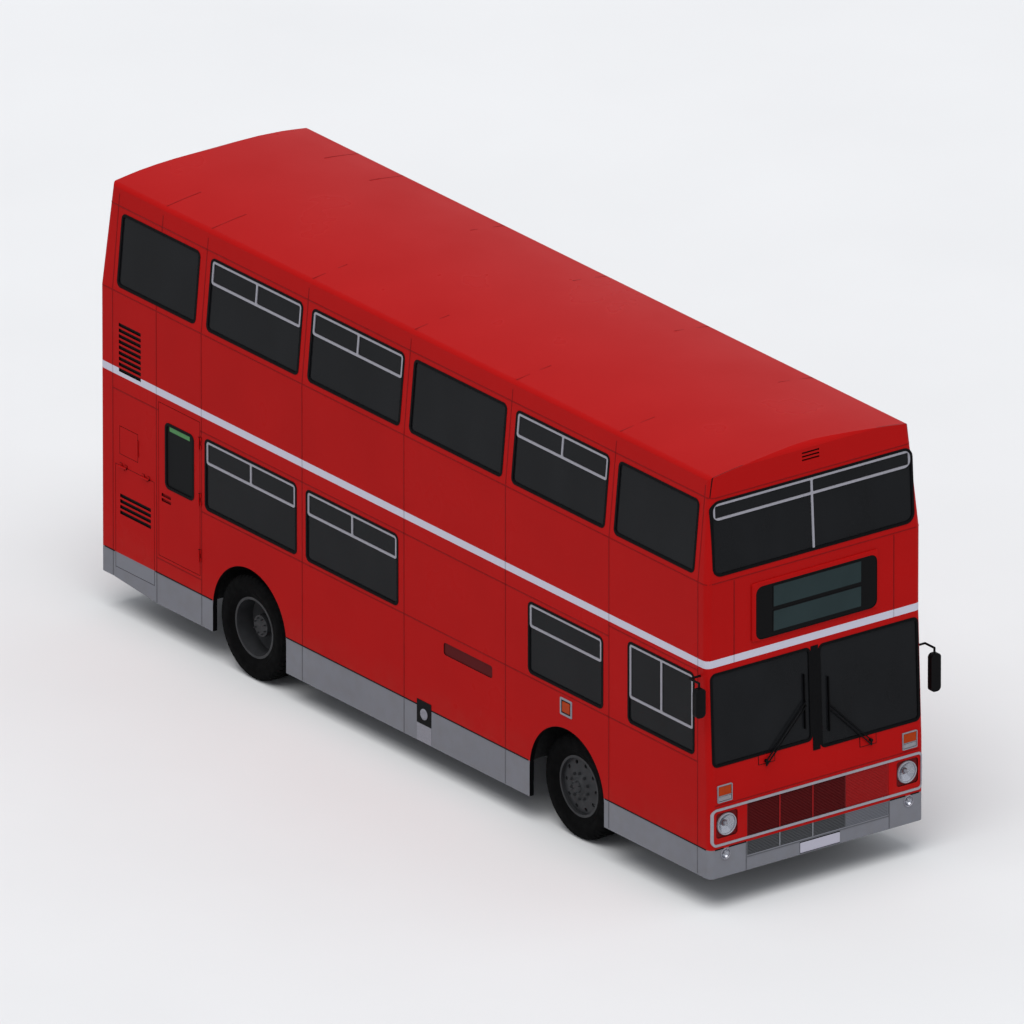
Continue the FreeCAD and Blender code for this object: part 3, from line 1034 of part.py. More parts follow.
def make_cab(inner):
    lean = "steer_lean"
    ring = doc.addObject("Part::Torus", "steer_ring")
    bind(ring, "Radius1", "steer_radius")
    bind(ring, "Radius2", "13")
    hub = cylinder("steer_hub", "45", "-26", "10", "z", ("0", "0"))
    spokes = []
    for i in range(2):
        spoke = rounded(f"spoke_{i}", ("-14", "14"), ("-steer_radius", "steer_radius"), ("-12", "4"), "3", "y")
        spokes.append(place(group(f"spoke_set_{i}", [spoke]), axis=(0, 0, 1), angle=f"60 + {i} * 60"))
    wheel = fuse("steer_wheel", [ring, hub, *spokes])
    node("steering_wheel", place(wheel, *WHEEL_SPOT, axis=(-1, 0, 0), angle=lean))

    column = cylinder("column", "24", "-steer_length", "-26.5", "z", ("0", "0"))
    column = place(group("column_set", [column]), *WHEEL_SPOT, axis=(-1, 0, 0), angle=lean)
    under = box("under_floor", ("-1000", "-600"), ("-4700", "-4100"), ("floor_top - 200", "floor_top"))
    desk_front = f"({FRONT} + wall - 10)"
    desk = prism("desk", "yz", [
        ("-4440", "1010"), ("-4440", "1180"), ("-4620", "1215"), (desk_front, "1215"), (desk_front, "floor_top"),
        (f"{desk_front} + 40", "floor_top"), (f"{desk_front} + 40", "1010")], f"-({HALF} - wall)", "-420")
    node("dashboard", group("desk_set", [common("desk_trim", desk, inner), cut("column_trim", column, [under])]))


# ---------------------------------------------------------------- entrance doors
def door_pins(name, low, high):
    """The two pins that a doorway's outer leaves turn on, at one end of the leaves."""
    return [cylinder(f"{name}_{pair}", "pivot_radius", low, high, "z", ("leaf_plane", f"{jamb} + {towards} * jamb_clear"))
            for pair, jamb, towards in DOOR_PAIRS]


DOOR_PAIRS = (("rear", "-door_rear", -1), ("front", "-door_front", 1))


def make_doors():
    """Two pairs of folding leaves. In each, the outer leaf turns at its jamb and the inner one folds back on it."""
    low, high = "(step_top + leaf_lift)", "(door_high - 8)"
    middle = "(-(door_front + door_rear) / 2)"
    face = "leaf_thick / 2"
    fold = "((door_front - door_rear) / 4 + 4)"
    for pair, jamb, towards in DOOR_PAIRS:
        spans = {
            "outer": (f"{jamb} + {towards} * (jamb_clear - 14)", f"{jamb} + {towards} * ({fold} - leaf_gap / 2)"),
            "inner": (f"{jamb} + {towards} * ({fold} + leaf_gap / 2)", f"{middle} - {towards} * leaf_meet / 2"),
        }
        fold_y = f"({jamb} + {towards} * {fold})"
        strap_x = (f"leaf_plane + {face}", f"leaf_plane + {face} + 4")
        still, knuckles = [], []
        straps = ((strap_x, (fold_y, f"{fold_y} + 26")), (strap_x, (f"{fold_y} - 26", fold_y)))
        for i, z in enumerate((f"{low} + 140", f"{low} + 840", f"{high} - 260")):
            fixed, moving = hinge(f"fold_{pair}_{i}", "z", (f"leaf_plane + {face} + fold_out", fold_y), z, f"{z} + 120",
                                  *straps[::-towards], "fold_barrel", "3")
            still += fixed
            knuckles.append(moving)
        for leaf, (start, end) in spans.items():
            y = (end, start) if towards < 0 else (start, end)
            name = f"{pair}_{leaf}"
            slab = rounded(f"leaf_{name}", (f"leaf_plane - {face}", f"leaf_plane + {face}"), y, (low, high), "13", "z")
            inner_y = (f"{y[0]} + leaf_frame", f"{y[1]} - leaf_frame")
            heights = ((f"{low} + 70", f"{low} + 840"), (f"{low} + 900", f"{high} - 60"))
            lights = [rounded(f"light_{name}_{i}", (f"leaf_plane - {face} - 5", f"leaf_plane + {face} + 5"), inner_y, z, "30",
                              "x") for i, z in enumerate(heights)]
            glass = [rounded(f"glass_{name}_{i}", ("leaf_plane - leaf_glass / 2", "leaf_plane + leaf_glass / 2"), inner_y, z,
                             "30", "x") for i, z in enumerate(heights)]
            tools = lights
            if leaf == "outer":
                spot = ("leaf_plane", f"{jamb} + {towards} * jamb_clear")
                reach = "pivot_radius + hinge_fit"
                foot_z = (f"{low} - 5", "step_top + pivot_length + hinge_fit")
                top_z = ("door_high - pivot_length - hinge_fit", f"{high} + 5")
                tools = [*lights, cylinder(f"socket_{pair}_foot", reach, *foot_z, "z", spot),
                         cylinder(f"socket_{pair}_top", reach, *top_z, "z", spot)]
            frame = cut(f"door_{name}_frame", slab, tools)
            node(f"door_{name}", fuse(f"door_{name}_leaf", [frame, *glass, *(still if leaf == "outer" else knuckles)]))


# ---------------------------------------------------------------- small pieces outside
def make_small(outer):
    lamps = [indicator(f"indicator_{SIDE_NAME[sign]}", sign, "0") for sign in (RIGHT, LEFT)]
    for sign in (RIGHT, LEFT):
        x = (HALF, f"{HALF} + 8") if sign == LEFT else (f"-{HALF} - 8", f"-{HALF}")
        lamps.append(rounded(f"repeater_{SIDE_NAME[sign]}", x, ("-repeater_front", "-repeater_rear"),
                             ("repeater_low", "repeater_high"), "lamp_corner", "x"))
    node("amber_lamps", group("ambers", lamps))
    tails = []
    for sign in (RIGHT, LEFT):
        x = ("1000", "1150") if sign == LEFT else ("-1150", "-1000")
        for i in range(3):
            tails.append(rounded(f"tail_{SIDE_NAME[sign]}_{i}", x, (REAR, f"{REAR} + 8"),
                                 (f"690 + {i} * 150", f"820 + {i} * 150"), "14", "y"))
    node("rear_lamps", group("tails", tails))
    skin = cut("trim_skin", body_loft("trim", "(-trim_proud)"), [outer])
    depth = (f"{FRONT} - 20", f"{FRONT} + 60")
    frame = cut("surround", rounded("surround_out", ("-surround_half", "surround_half"), depth,
                                    ("surround_low", "surround_high"), "surround_corner", "y"),
                [rounded("surround_in", ("-surround_half + surround_width", "surround_half - surround_width"),
                         (f"{FRONT} - 30", f"{FRONT} + 70"), UPPER_GRILLE, "surround_corner - surround_width", "y")])
    node("grille_trim", common("grille_surround", skin, frame))


# side, top of the head, height of the head, height of its arm
MIRRORS = ((RIGHT, "2290", "290", "2340"), (LEFT, "1975", "380", "2025"))


def make_mirrors():
    """A narrow rounded head on each side, hung from an arm that comes forward from the body's corner."""
    parts = []
    for sign, top, tall, arm_z in MIRRORS:
        name = f"mirror_{SIDE_NAME[sign]}"
        x = f"{sign} * mirror_place"
        y = "(-mirror_front + mirror_depth / 2)"
        root_y = f"({y} + mirror_back)"
        head = rounded(f"{name}_head", span(x, "mirror_width"), ("-mirror_front", "-mirror_front + mirror_depth"),
                       (f"{top} - {tall}", top), "mirror_corner", "y")
        arm_x = (HALF, "mirror_place") if sign == LEFT else ("-mirror_place", f"-{HALF}")
        parts_here = [head, cylinder(f"{name}_arm", "mirror_tube", *arm_x, "x", (root_y, arm_z)),
                      cylinder(f"{name}_reach", "mirror_tube", y, root_y, "y", (x, arm_z)),
                      cylinder(f"{name}_post", "mirror_tube", f"{top} - mirror_width", arm_z, "z", (x, y))]
        for i, at in enumerate((root_y, y)):
            ball = doc.addObject("Part::Sphere", f"{name}_elbow_{i}")
            bind(ball, "Radius", "mirror_tube")
            parts_here.append(place(ball, x, at, arm_z))
        parts.append(fuse(name, parts_here))
    node("mirrors", group("mirror_pair", parts))


WIPERS = (     # side, spindle X and Z, blade X and middle Z
    (RIGHT, "600", "1380", "130", "1850"),
    (LEFT, "620", "1290", "150", "1760"),
)


def make_wipers(screen):
    """Each wiper lies on the windscreen: a spindle, two parallel arms and a blade. Drawn upright, then leaned."""
    parts = []
    for sign, spindle_x, spindle_z, blade_x, blade_z in WIPERS:
        name = f"wiper_{SIDE_NAME[sign]}"
        foot_z, middle = f"({spindle_z} - screen_foot)", f"({blade_z} - screen_foot)"
        run, rise = f"({spindle_x} - {blade_x})", f"({middle} - {foot_z})"
        spindle = cylinder(f"{name}_spindle", "16", "-30", "0", "y", (f"{sign} * {spindle_x}", foot_z))
        arms = []
        for i in range(2):
            arm = rounded(f"{name}_arm_{i}", ("0", f"sqrt({run}^2 + {rise}^2) + 10"), ("-26", "-18"), ("-6", "6"), "4", "y")
            lift = f"{i} * 44"
            arms.append(place(group(f"{name}_arm_set_{i}", [arm]), f"-{spindle_x}", "0", f"{foot_z} - {lift}", (0, -1, 0),
                              f"atan({rise} / {run})"))
        blade = box(f"{name}_blade", (f"-{blade_x} - 5", f"-{blade_x} + 5"), ("-18", "glass_recess - seat_gap"),
                    (f"{middle} - 270", f"{middle} + 270"))
        link = box(f"{name}_link", (f"-{spindle_x} - 8", f"-{spindle_x} + 8"), ("-26", "-18"),
                   (f"{foot_z} - 50", f"{foot_z} + 6"))
        moving = fuse(f"{name}_arms", [*arms, blade, link])
        parts.append(fuse(name, [spindle, moving if sign == RIGHT else mirrored(f"{name}_mirrored", moving)]))
    node("wipers", place(group("wiper_pair", parts), **screen.where))


# ---------------------------------------------------------------- build and write
def build():
    outer, inner, shell = make_shell()
    walls = {w.name: w for w in (upper_side(RIGHT), upper_side(LEFT), lower_right(), lower_left(), exit_wall(),
                                 top_screen(), windscreens(), rear_lower(), rear_upper())}
    make_sides(shell, walls)
    make_ends(shell, walls)
    make_glazing(walls)
    make_front_fittings()
    make_floors(inner)
    make_stairs()
    make_bulkheads(inner)
    make_seats()
    make_chassis()
    make_axles()
    make_wheels()
    make_knuckles()
    make_cab(inner)
    make_doors()
    make_small(outer)
    make_mirrors()
    make_wipers(walls["screen"])


def check():
    for obj in doc.Objects:
        if {"Invalid", "Error"} & set(obj.State):
            raise RuntimeError(f"{obj.Name} did not build: {obj.State}")
    for name, obj in NODES.items():
        if obj.Shape.isNull() or not obj.Shape.isValid() or not obj.Shape.Solids:
            raise RuntimeError(f"{name} has no valid solid")


def write():
    os.makedirs("parts", exist_ok=True)
    for name, obj in NODES.items():
        obj.Shape.exportStep(f"parts/{name}.step")


build()
doc.recompute()
check()
write()
print(len(NODES), "nodes,", sum(len(o.Shape.Solids) for o in NODES.values()), "solids")
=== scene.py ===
"""A double-decker bus in a plain studio: finishes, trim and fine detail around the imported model.

Metres, +Z up from the ground. The front faces -Y and the bus's own right side is -X.
"""
import json
import math

import bmesh
import bpy
from mathutils import Matrix, Vector
from mathutils.bvhtree import BVHTree


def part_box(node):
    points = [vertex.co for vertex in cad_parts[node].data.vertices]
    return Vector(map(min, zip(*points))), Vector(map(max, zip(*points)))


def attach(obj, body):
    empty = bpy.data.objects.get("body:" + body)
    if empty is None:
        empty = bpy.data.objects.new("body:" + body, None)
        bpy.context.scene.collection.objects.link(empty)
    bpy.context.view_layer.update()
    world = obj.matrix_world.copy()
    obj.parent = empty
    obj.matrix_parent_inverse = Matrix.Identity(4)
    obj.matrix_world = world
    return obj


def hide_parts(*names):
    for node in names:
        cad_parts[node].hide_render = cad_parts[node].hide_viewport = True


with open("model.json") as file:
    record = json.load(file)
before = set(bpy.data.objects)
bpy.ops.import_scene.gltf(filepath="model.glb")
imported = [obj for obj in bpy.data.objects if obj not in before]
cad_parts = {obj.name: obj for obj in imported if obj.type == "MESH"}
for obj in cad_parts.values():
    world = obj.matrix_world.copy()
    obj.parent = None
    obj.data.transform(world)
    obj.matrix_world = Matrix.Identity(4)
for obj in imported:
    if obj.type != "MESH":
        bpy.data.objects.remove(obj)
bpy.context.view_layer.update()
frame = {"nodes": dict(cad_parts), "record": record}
NODES = frame["nodes"]
RIGHT, LEFT = -1, 1          # sign of X on each side of the bus
SIDES = ((RIGHT, "right"), (LEFT, "left"))

# -------------------------------- places on the bus
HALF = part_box("side_wall_left")[1].x            # half the body's width
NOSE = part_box("front_bumper")[0].y              # the flat of the front
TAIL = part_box("rear_bumper")[1].y
WALL = 0.050                                    # thickness of the body's panels
SKIRT_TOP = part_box("side_skirts")[1].z
SCREEN_FOOT = 1.150                             # the windscreens' wall leans back from here
SCREEN_LEAN = math.atan(56 / 1270)
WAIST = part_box("upper_side_walls")[0].z
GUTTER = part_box("roof")[0].z
TYRE_RADIUS = 0.518
AXLE_Z = TYRE_RADIUS
AXLE_Y = {"front": -2.548, "rear": 2.412}
TRACKS = {"front": (1.002,), "rear": (1.089, 0.769)}     # each tyre's middle, the outer one first
STRIPE_LOW, STRIPE_HIGH = 2.428, 2.503
SLOT_FLOOR = HALF - 0.006                       # louvres and recesses are sunk deeper than this
EXIT_LIGHT = ((3.280, 3.740), (1.524, 2.196))   # the emergency door's window, along Y and up Z
HANDLE = ((3.648, 3.795), (1.372, 1.455))       # its handle's recess
RECESS = ((-1.40, -0.62), (1.25, 1.39))         # the long recess under the right side's windows
REPEATER_Y = -2.540
CORE_END, CORE_LOW, CORE_HIGH = 4.3, 0.9, 3.9   # a sheet down the body's middle, which panels face away from
EDGE_ON = 0.12                                  # outward() is nearer 0 than this on a panel's edges
DARK_BELOW = 1.2                                # the body's inside is black under this height
LOWER_FLOOR, CAB_FLOOR, UPPER_FLOOR = 0.640, 0.730, 2.480
LEAF_PLANE = 1.218                              # middle of the entrance doors' thickness
LEAF_FACE = LEAF_PLANE + 0.015


# -------------------------------- finishes
class Finish:
    """A procedural material built up on one Principled shader."""

    def __init__(self, name, colour, roughness=0.5, metallic=0.0, **sockets):
        self.material = bpy.data.materials.new(name)
        self.material.use_nodes = True
        self.tree = self.material.node_tree
        self.shader = self.tree.nodes["Principled BSDF"]
        self.base = (*colour, 1.0)
        self.shader.inputs["Base Color"].default_value = self.base
        self.shader.inputs["Roughness"].default_value = roughness
        self.shader.inputs["Metallic"].default_value = metallic
        for socket, value in sockets.items():
            self.shader.inputs[socket.replace("_", " ")].default_value = value
        found = self.add("ShaderNodeTexCoord")
        self.place, self.normal = found.outputs["Object"], found.outputs["Normal"]

    def add(self, kind, inputs=None, **settings):
        made = self.tree.nodes.new(kind)
        for key, value in settings.items():
            setattr(made, key, value)
        for key, value in (inputs or {}).items():
            if isinstance(value, bpy.types.NodeSocket):
                self.tree.links.new(value, made.inputs[key])
            else:
                made.inputs[key].default_value = value
        return made

    def noise(self, scale, detail=3.0, stretch=(1, 1, 1)):
        place = self.add("ShaderNodeMapping", {"Vector": self.place, "Scale": stretch}).outputs[0]
        inputs = {"Vector": place, "Scale": scale, "Detail": detail}
        return self.add("ShaderNodeTexNoise", inputs).outputs["Fac"]

    def axis(self, name, of=None):
        return self.add("ShaderNodeSeparateXYZ", {0: of or self.place}).outputs[name]

    def math(self, operation, first, second=0.0):
        return self.add("ShaderNodeMath", {0: first, 1: second}, operation=operation).outputs[0]

    def over(self, value, limit):
        return self.math("GREATER_THAN", value, limit)

    def under(self, value, limit):
        return self.math("LESS_THAN", value, limit)

    def reach(self, name, of=None):
        """How far a coordinate is from 0, on either side."""
        return self.math("ABSOLUTE", self.axis(name, of))

    def wave(self, scale, across, **inputs):
        inputs = {"Vector": self.place, "Scale": scale, **inputs}
        return self.add("ShaderNodeTexWave", inputs, bands_direction=across).outputs["Fac"]

    def fade(self, value, low, high, to_low=0.0, to_high=1.0):
        """A value carried from one range to another and held at its ends."""
        inputs = {"Value": value, "From Min": low, "From Max": high, "To Min": to_low, "To Max": to_high}
        return self.add("ShaderNodeMapRange", inputs, clamp=True).outputs[0]

    def band(self, value, low, high):
        """One between two values and nothing outside them."""
        return self.math("MULTIPLY", self.over(value, low), self.under(value, high))

    def both(self, *masks):
        made = masks[0]
        for mask in masks[1:]:
            made = self.math("MULTIPLY", made, mask)
        return made

    def outward(self):
        """Above 0 on faces that look out of the body, below 0 on its inside, about 0 on the edges between."""
        along = self.math("MAXIMUM", self.math("MINIMUM", self.axis("Y"), CORE_END), -CORE_END)
        up = self.math("MAXIMUM", self.math("MINIMUM", self.axis("Z"), CORE_HIGH), CORE_LOW)
        core = self.add("ShaderNodeCombineXYZ", {1: along, 2: up}).outputs[0]
        out = self.add("ShaderNodeVectorMath", {0: self.place, 1: core}, operation="SUBTRACT").outputs[0]
        found = self.add("ShaderNodeVectorMath", {0: out, 1: self.normal}, operation="DOT_PRODUCT")
        return found.outputs["Value"]

    def mix(self, factor, first, second):
        made = self.add("ShaderNodeMix", data_type="RGBA")
        for index, value in ((0, factor), (6, first), (7, second)):
            if isinstance(value, bpy.types.NodeSocket):
                self.tree.links.new(value, made.inputs[index])
            else:
                made.inputs[index].default_value = value if index == 0 else (*value[:3], 1.0)
        return made.outputs[2]

    def paint(self, colour):
        self.tree.links.new(colour, self.shader.inputs["Base Color"])

    def rough(self, value):
        self.tree.links.new(value, self.shader.inputs["Roughness"])

    def bump(self, height, strength, distance):
        inputs = {"Height": height, "Strength": strength, "Distance": distance}
        made = self.add("ShaderNodeBump", inputs)
        self.tree.links.new(made.outputs[0], self.shader.inputs["Normal"])

    def mottled(self, scale, amount, low, high, stretch=(1, 1, 1)):
        """Uneven colour and gloss: the base colour darkened by up to an amount, roughness low to high."""
        grain = self.noise(scale, stretch=stretch)
        dark = tuple(c * (1 - amount) for c in self.base[:3])
        tint = self.mix(self.fade(grain, 0.3, 0.7), dark, self.base)
        self.paint(tint)
        self.rough(self.fade(grain, 0.3, 0.7, high, low))
        return tint


RED = (0.385, 0.0058, 0.0056)
GREY = (0.185, 0.19, 0.215)
STRIPE_COLOUR = (0.52, 0.51, 0.60)
BLACK = (0.004, 0.004, 0.0045)
# painted shade: the dark red of the long recess under the right side's windows
RECESS_SHADE_RED = (0.085, 0.008, 0.009)
LINING = (0.30, 0.28, 0.24)
PANE_BLACK = (0.0085, 0.009, 0.0098)
# painted shade: the open grille slats' red, far darker than the body's
SHADED_SLAT_RED = (0.10, 0.006, 0.007)


def lined(made, tint):
    """Paint outside, laminate on the saloon's walls, and black inside the body below its floor."""
    outward, height = made.outward(), made.axis("Z")
    inside = made.under(outward, EDGE_ON)
    beside = made.over(made.reach("X"), HALF - WALL + 0.004)
    at_end = made.over(made.reach("Y"), TAIL - WALL + 0.004)
    dark = made.math("MAXIMUM", made.under(height, DARK_BELOW), made.math("MAXIMUM", beside, at_end))
    lining = made.mix(dark, LINING, BLACK)
    edge = made.mix(made.over(outward, -EDGE_ON), lining, BLACK)
    return made.mix(inside, tint, edge)


def coach_paint(name, cuts=()):
    """Gloss red paint, faintly uneven, with road dust low down and the white waist stripe. Each cut takes the
    finish and a colour so far, and gives the colour with one more detail."""
    made = Finish(name, RED, 0.35, Coat_Weight=0.02, Coat_Roughness=0.12, Specular_IOR_Level=0.02)
    tint = made.mottled(1.3, 0.06, 0.26, 0.36)
    height = made.axis("Z")
    splash, dirt = made.fade(height, 0.95, 0.3), made.fade(made.noise(7, 6), 0.35, 0.8, 0.02, 0.16)
    dust = made.math("MULTIPLY", splash, dirt)
    tint = made.mix(dust, tint, (0.16, 0.11, 0.08))
    tint = made.mix(made.band(height, STRIPE_LOW, STRIPE_HIGH), tint, STRIPE_COLOUR)
    tint = lined(made, tint)
    for cut_in in cuts:
        tint = cut_in(made, tint)
    made.paint(tint)
    made.bump(made.noise(900, 2), 0.03, 0.0004)
    return made.material


def sunk_sides(made, tint):
    """Louvre slots are painted black inside as painted shade, and the long recess under the windows is
    painted dark red as painted shade.
    """
    reach = made.reach("X")
    height, along = made.axis("Z"), made.axis("Y")
    flat = made.over(made.reach("X", made.normal), 0.9)
    floor = made.both(made.under(reach, SLOT_FLOOR), made.over(made.outward(), 0.5),
                      made.under(height, WAIST), flat)
    bar = made.both(made.band(height, *RECESS[1]), made.band(along, *RECESS[0]))
    # painted shade: the sunk floors black, the long recess a dark red
    return made.mix(floor, tint, made.mix(bar, BLACK, RECESS_SHADE_RED))


def grey_foot(made, tint):
    """The hatch reaches down over the skirt, and is grey there."""
    low = made.both(made.under(made.axis("Z"), SKIRT_TOP), made.over(made.outward(), 0.5))
    return made.mix(low, tint, GREY)


def sunk_front(made, tint):
    """The headlamps' recesses are painted a darker red as painted shade."""
    floor = made.both(made.over(made.axis("Y"), NOSE + 0.004), made.band(made.axis("Z"), 0.73, 0.985),
                      made.over(made.outward(), -0.1),
                      made.under(made.reach("X"), 1.18))
    # painted shade: the recesses' floor a darker red
    return made.mix(floor, tint, (0.12, 0.008, 0.009))


def sunk_rear(made, tint):
    """The bonnet's louvre slots are painted black inside as painted shade."""
    floor = made.both(made.under(made.axis("Y"), TAIL - 0.006),
                      made.over(made.outward(), 0.3), made.band(made.axis("Z"), 0.79, 1.35))
    # painted shade: the slots' floors black
    return made.mix(floor, tint, BLACK)


def exit_fittings(made, tint):
    """The emergency door's window with its rubber, and its handle in a recess painted a darker red as painted
    shade.
    """
    reach = made.reach("X")
    along, height = made.axis("Y"), made.axis("Z")
    light = made.both(made.band(along, *EXIT_LIGHT[0]), made.band(height, *EXIT_LIGHT[1]))
    proud = made.over(reach, HALF + 0.002)
    edge = made.under(made.reach("X", made.normal), 0.5)
    pane = made.both(light, made.band(reach, HALF - 0.016, HALF - 0.006), made.math("SUBTRACT", 1.0, edge))
    rubber = made.both(light, made.math("MAXIMUM", proud, edge))
    recess = made.both(made.band(along, *HANDLE[0]), made.band(height, *HANDLE[1]),
                       made.band(reach, HALF - 0.030, HALF - 0.009))
    tint = made.mix(rubber, tint, BLACK)
    # painted shade: the handle's recess a darker red
    tint = made.mix(recess, tint, (0.24, 0.0085, 0.0085))
    return made.mix(pane, tint, PANE_BLACK)


def leaf_glass(made, tint):
    """The entrance leaves' lights, which lie at the middle of their thickness."""
    near = made.under(made.math("ABSOLUTE", made.math("SUBTRACT", made.axis("X"), LEAF_PLANE)), 0.004)
    flat = made.over(made.reach("X", made.normal), 0.5)
    return made.mix(made.both(near, flat), tint, PANE_BLACK)


def roof_vents(made, tint):
    """The slots of the vents in the roof's front are painted black inside as painted shade."""
    slot = made.band(made.axis("Y"), NOSE + 0.126, NOSE + 0.134)
    # painted shade: the slots black
    return made.mix(made.both(slot, made.under(made.axis("Z"), 4.34)), tint, BLACK)


def grey_paint():
    made = Finish("grey_skirt_paint", GREY, 0.4, Coat_Weight=0.02, Coat_Roughness=0.2,
                  Specular_IOR_Level=0.05)
    tint = made.mottled(1.7, 0.08, 0.34, 0.46)
    dust = made.fade(made.noise(9, 6), 0.4, 0.8, 0.0, 0.2)
    tint = made.mix(dust, tint, (0.13, 0.115, 0.1))
    made.paint(made.mix(made.under(made.outward(), EDGE_ON), tint, BLACK))
    return made.material


GRILLE_POSTS = (-0.438, -0.053)                  # where the upright bars between the open slats start


def grille_paint():
    """Slats painted dark red above and dark grey below as painted shade between them, each with a black back,
    and a paler closed end with less painted shade; the posts are painted lighter as a painted highlight.
    """
    made = Finish("grille_slats", SHADED_SLAT_RED, 0.6, Specular_IOR_Level=0.1)
    made.mottled(30, 0.2, 0.5, 0.7)
    lower = made.under(made.axis("Z"), SKIRT_TOP)
    shut = made.over(made.axis("X"), 0.336)
    # painted shade: the open slats darkest, the closed end less dark
    open_shade_tint = made.mix(lower, SHADED_SLAT_RED, (0.085, 0.088, 0.095))
    shut_shade_tint = made.mix(lower, (0.28, 0.0075, 0.008), (0.135, 0.14, 0.16))
    tint = made.mix(shut, open_shade_tint, shut_shade_tint)
    # painted highlight: the posts lighter than the slats
    posts = [made.band(made.axis("X"), x, x + 0.010) for x in GRILLE_POSTS]
    lit_post = made.both(made.under(made.axis("Y"), NOSE + 0.004), made.math("MAXIMUM", *posts))
    tint = made.mix(lit_post, tint, made.mix(lower, (0.34, 0.008, 0.009), (0.24, 0.245, 0.27)))
    deep = made.over(made.axis("Y"), NOSE + 0.028)
    made.paint(made.mix(made.both(deep, made.math("SUBTRACT", 1.0, shut)), tint, BLACK))
    return made.material


def glass(name, colour, alpha):
    made = Finish(name, colour, 0.06, Specular_IOR_Level=0.06, Alpha=alpha)
    film = made.noise(2.3, 5, (1, 1, 0.6))
    made.paint(made.mix(made.fade(film, 0.35, 0.7), colour, tuple(c * 1.25 for c in colour)))
    made.rough(made.fade(film, 0.3, 0.7, 0.04, 0.1))
    return made.material


def ribbed_lens(name, colour, alpha=1.0, across="Z", pitch=0.012):
    """Moulded lamp plastic with fine ribs."""
    made = Finish(name, colour, 0.2, Alpha=alpha, Specular_IOR_Level=0.07)
    made.mottled(40, 0.15, 0.14, 0.26)
    made.bump(made.wave(math.pi / 10 / pitch, across), 0.5, 0.0015)
    return made.material


def simple(name, colour, roughness, metallic=0.0, scale=60, amount=0.15, bump=0.0, **sockets):
    """A moulded, cast or rolled surface with a fine grain."""
    made = Finish(name, colour, roughness, metallic, **sockets)
    made.mottled(scale, amount, roughness * 0.85, min(roughness * 1.15, 1.0))
    if bump:
        made.bump(made.noise(scale * 6, 4), bump, 0.001)
    return made.material


def moquette():
    """Seat cloth: a woven ground with small crossed bars of a second colour."""
    made = Finish("moquette", (0.075, 0.085, 0.16), 0.9, Sheen_Weight=0.4, Sheen_Roughness=0.5)
    bars, slants = (made.wave(9.0, across, Distortion=0.6, Detail=1.0) for across in ("X", "DIAGONAL"))
    pattern = made.math("MULTIPLY", made.over(bars, 0.66), made.over(slants, 0.6))
    weave = made.noise(420, 2)
    ground = made.mix(made.fade(weave, 0.3, 0.7), (0.05, 0.06, 0.12), (0.1, 0.11, 0.2))
    made.paint(made.mix(pattern, ground, (0.33, 0.035, 0.03)))
    made.bump(weave, 0.4, 0.0015)
    return made.material


def tyre_rubber():
    made = Finish("tyre_rubber", (0.0028, 0.0028, 0.003), 0.8, Specular_IOR_Level=0.04)
    made.mottled(14, 0.25, 0.7, 0.9)
    made.bump(made.noise(220, 4), 0.15, 0.001)
    return made.material


def red_moulding():
    """Cover strips in a darker red, which take the waist stripe's colour where it crosses them."""
    made = Finish("red_moulding", (0.225, 0.0075, 0.008), 0.4, Specular_IOR_Level=0.02)
    tint = made.mottled(20, 0.15, 0.34, 0.46)
    stripe = tuple(0.74 * part for part in STRIPE_COLOUR)
    made.paint(made.mix(made.band(made.axis("Z"), STRIPE_LOW, STRIPE_HIGH), tint, stripe))
    return made.material


def floor_cover():
    """Ribbed rubber floor covering."""
    made = Finish("ribbed_floor", (0.09, 0.09, 0.095), 0.7)
    made.mottled(30, 0.2, 0.6, 0.8)
    made.bump(made.wave(24.0, "X"), 0.5, 0.002)
    return made.material


MATERIALS = {
    "red_paint": coach_paint("red_coach_paint", [sunk_sides]),
    "roof_paint": coach_paint("roof_coach_paint", [roof_vents]),
    "door_paint": coach_paint("door_coach_paint", [leaf_glass]),
    "grey_paint": grey_paint(),
    "dark_glass": glass("tinted_glass", (0.0080, 0.0086, 0.0098), 0.98),
    "box_glass": simple("sign_box_black", (0.0035, 0.0035, 0.004), 0.35, scale=20, Specular_IOR_Level=0.05),
    "black_rubber": simple("black_rubber", (0.003, 0.003, 0.0035), 0.65, scale=80, bump=0.1,
                           Specular_IOR_Level=0.05),
    "bright_metal": simple("satin_aluminium", (0.30, 0.295, 0.335), 0.42, 0.35, scale=40, amount=0.1),
    "grille_paint": grille_paint(),
    "lamp_glass": simple("lamp_reflector", (0.42, 0.43, 0.48), 0.16, 0.9, scale=50),
    "amber_lens": ribbed_lens("amber_lens", (0.37, 0.038, 0.003)),
    "red_lens": ribbed_lens("red_lens", (0.20, 0.002, 0.006)),
    "black_plastic": simple("black_plastic", (0.0025, 0.0025, 0.003), 0.5, scale=90, bump=0.15,
                            Specular_IOR_Level=0.06),
    "floor_cover": floor_cover(),
    "interior_panel": simple("interior_laminate", LINING, 0.55, scale=25, amount=0.1),
    "seat_cloth": moquette(),
    "seat_frame": simple("seat_frame_paint", (0.08, 0.08, 0.09), 0.45, scale=30),
    "chassis_paint": simple("chassis_paint", (0.012, 0.012, 0.013), 0.6, scale=12, amount=0.3, bump=0.1),
    "cast_grey": simple("cast_grey", (0.05, 0.05, 0.052), 0.7, scale=60, amount=0.3, bump=0.4),
    "wheel_paint": simple("wheel_paint", (0.030, 0.031, 0.034), 0.5, scale=9, amount=0.3,
                          Specular_IOR_Level=0.2),
    "tyre_black": tyre_rubber(),
}
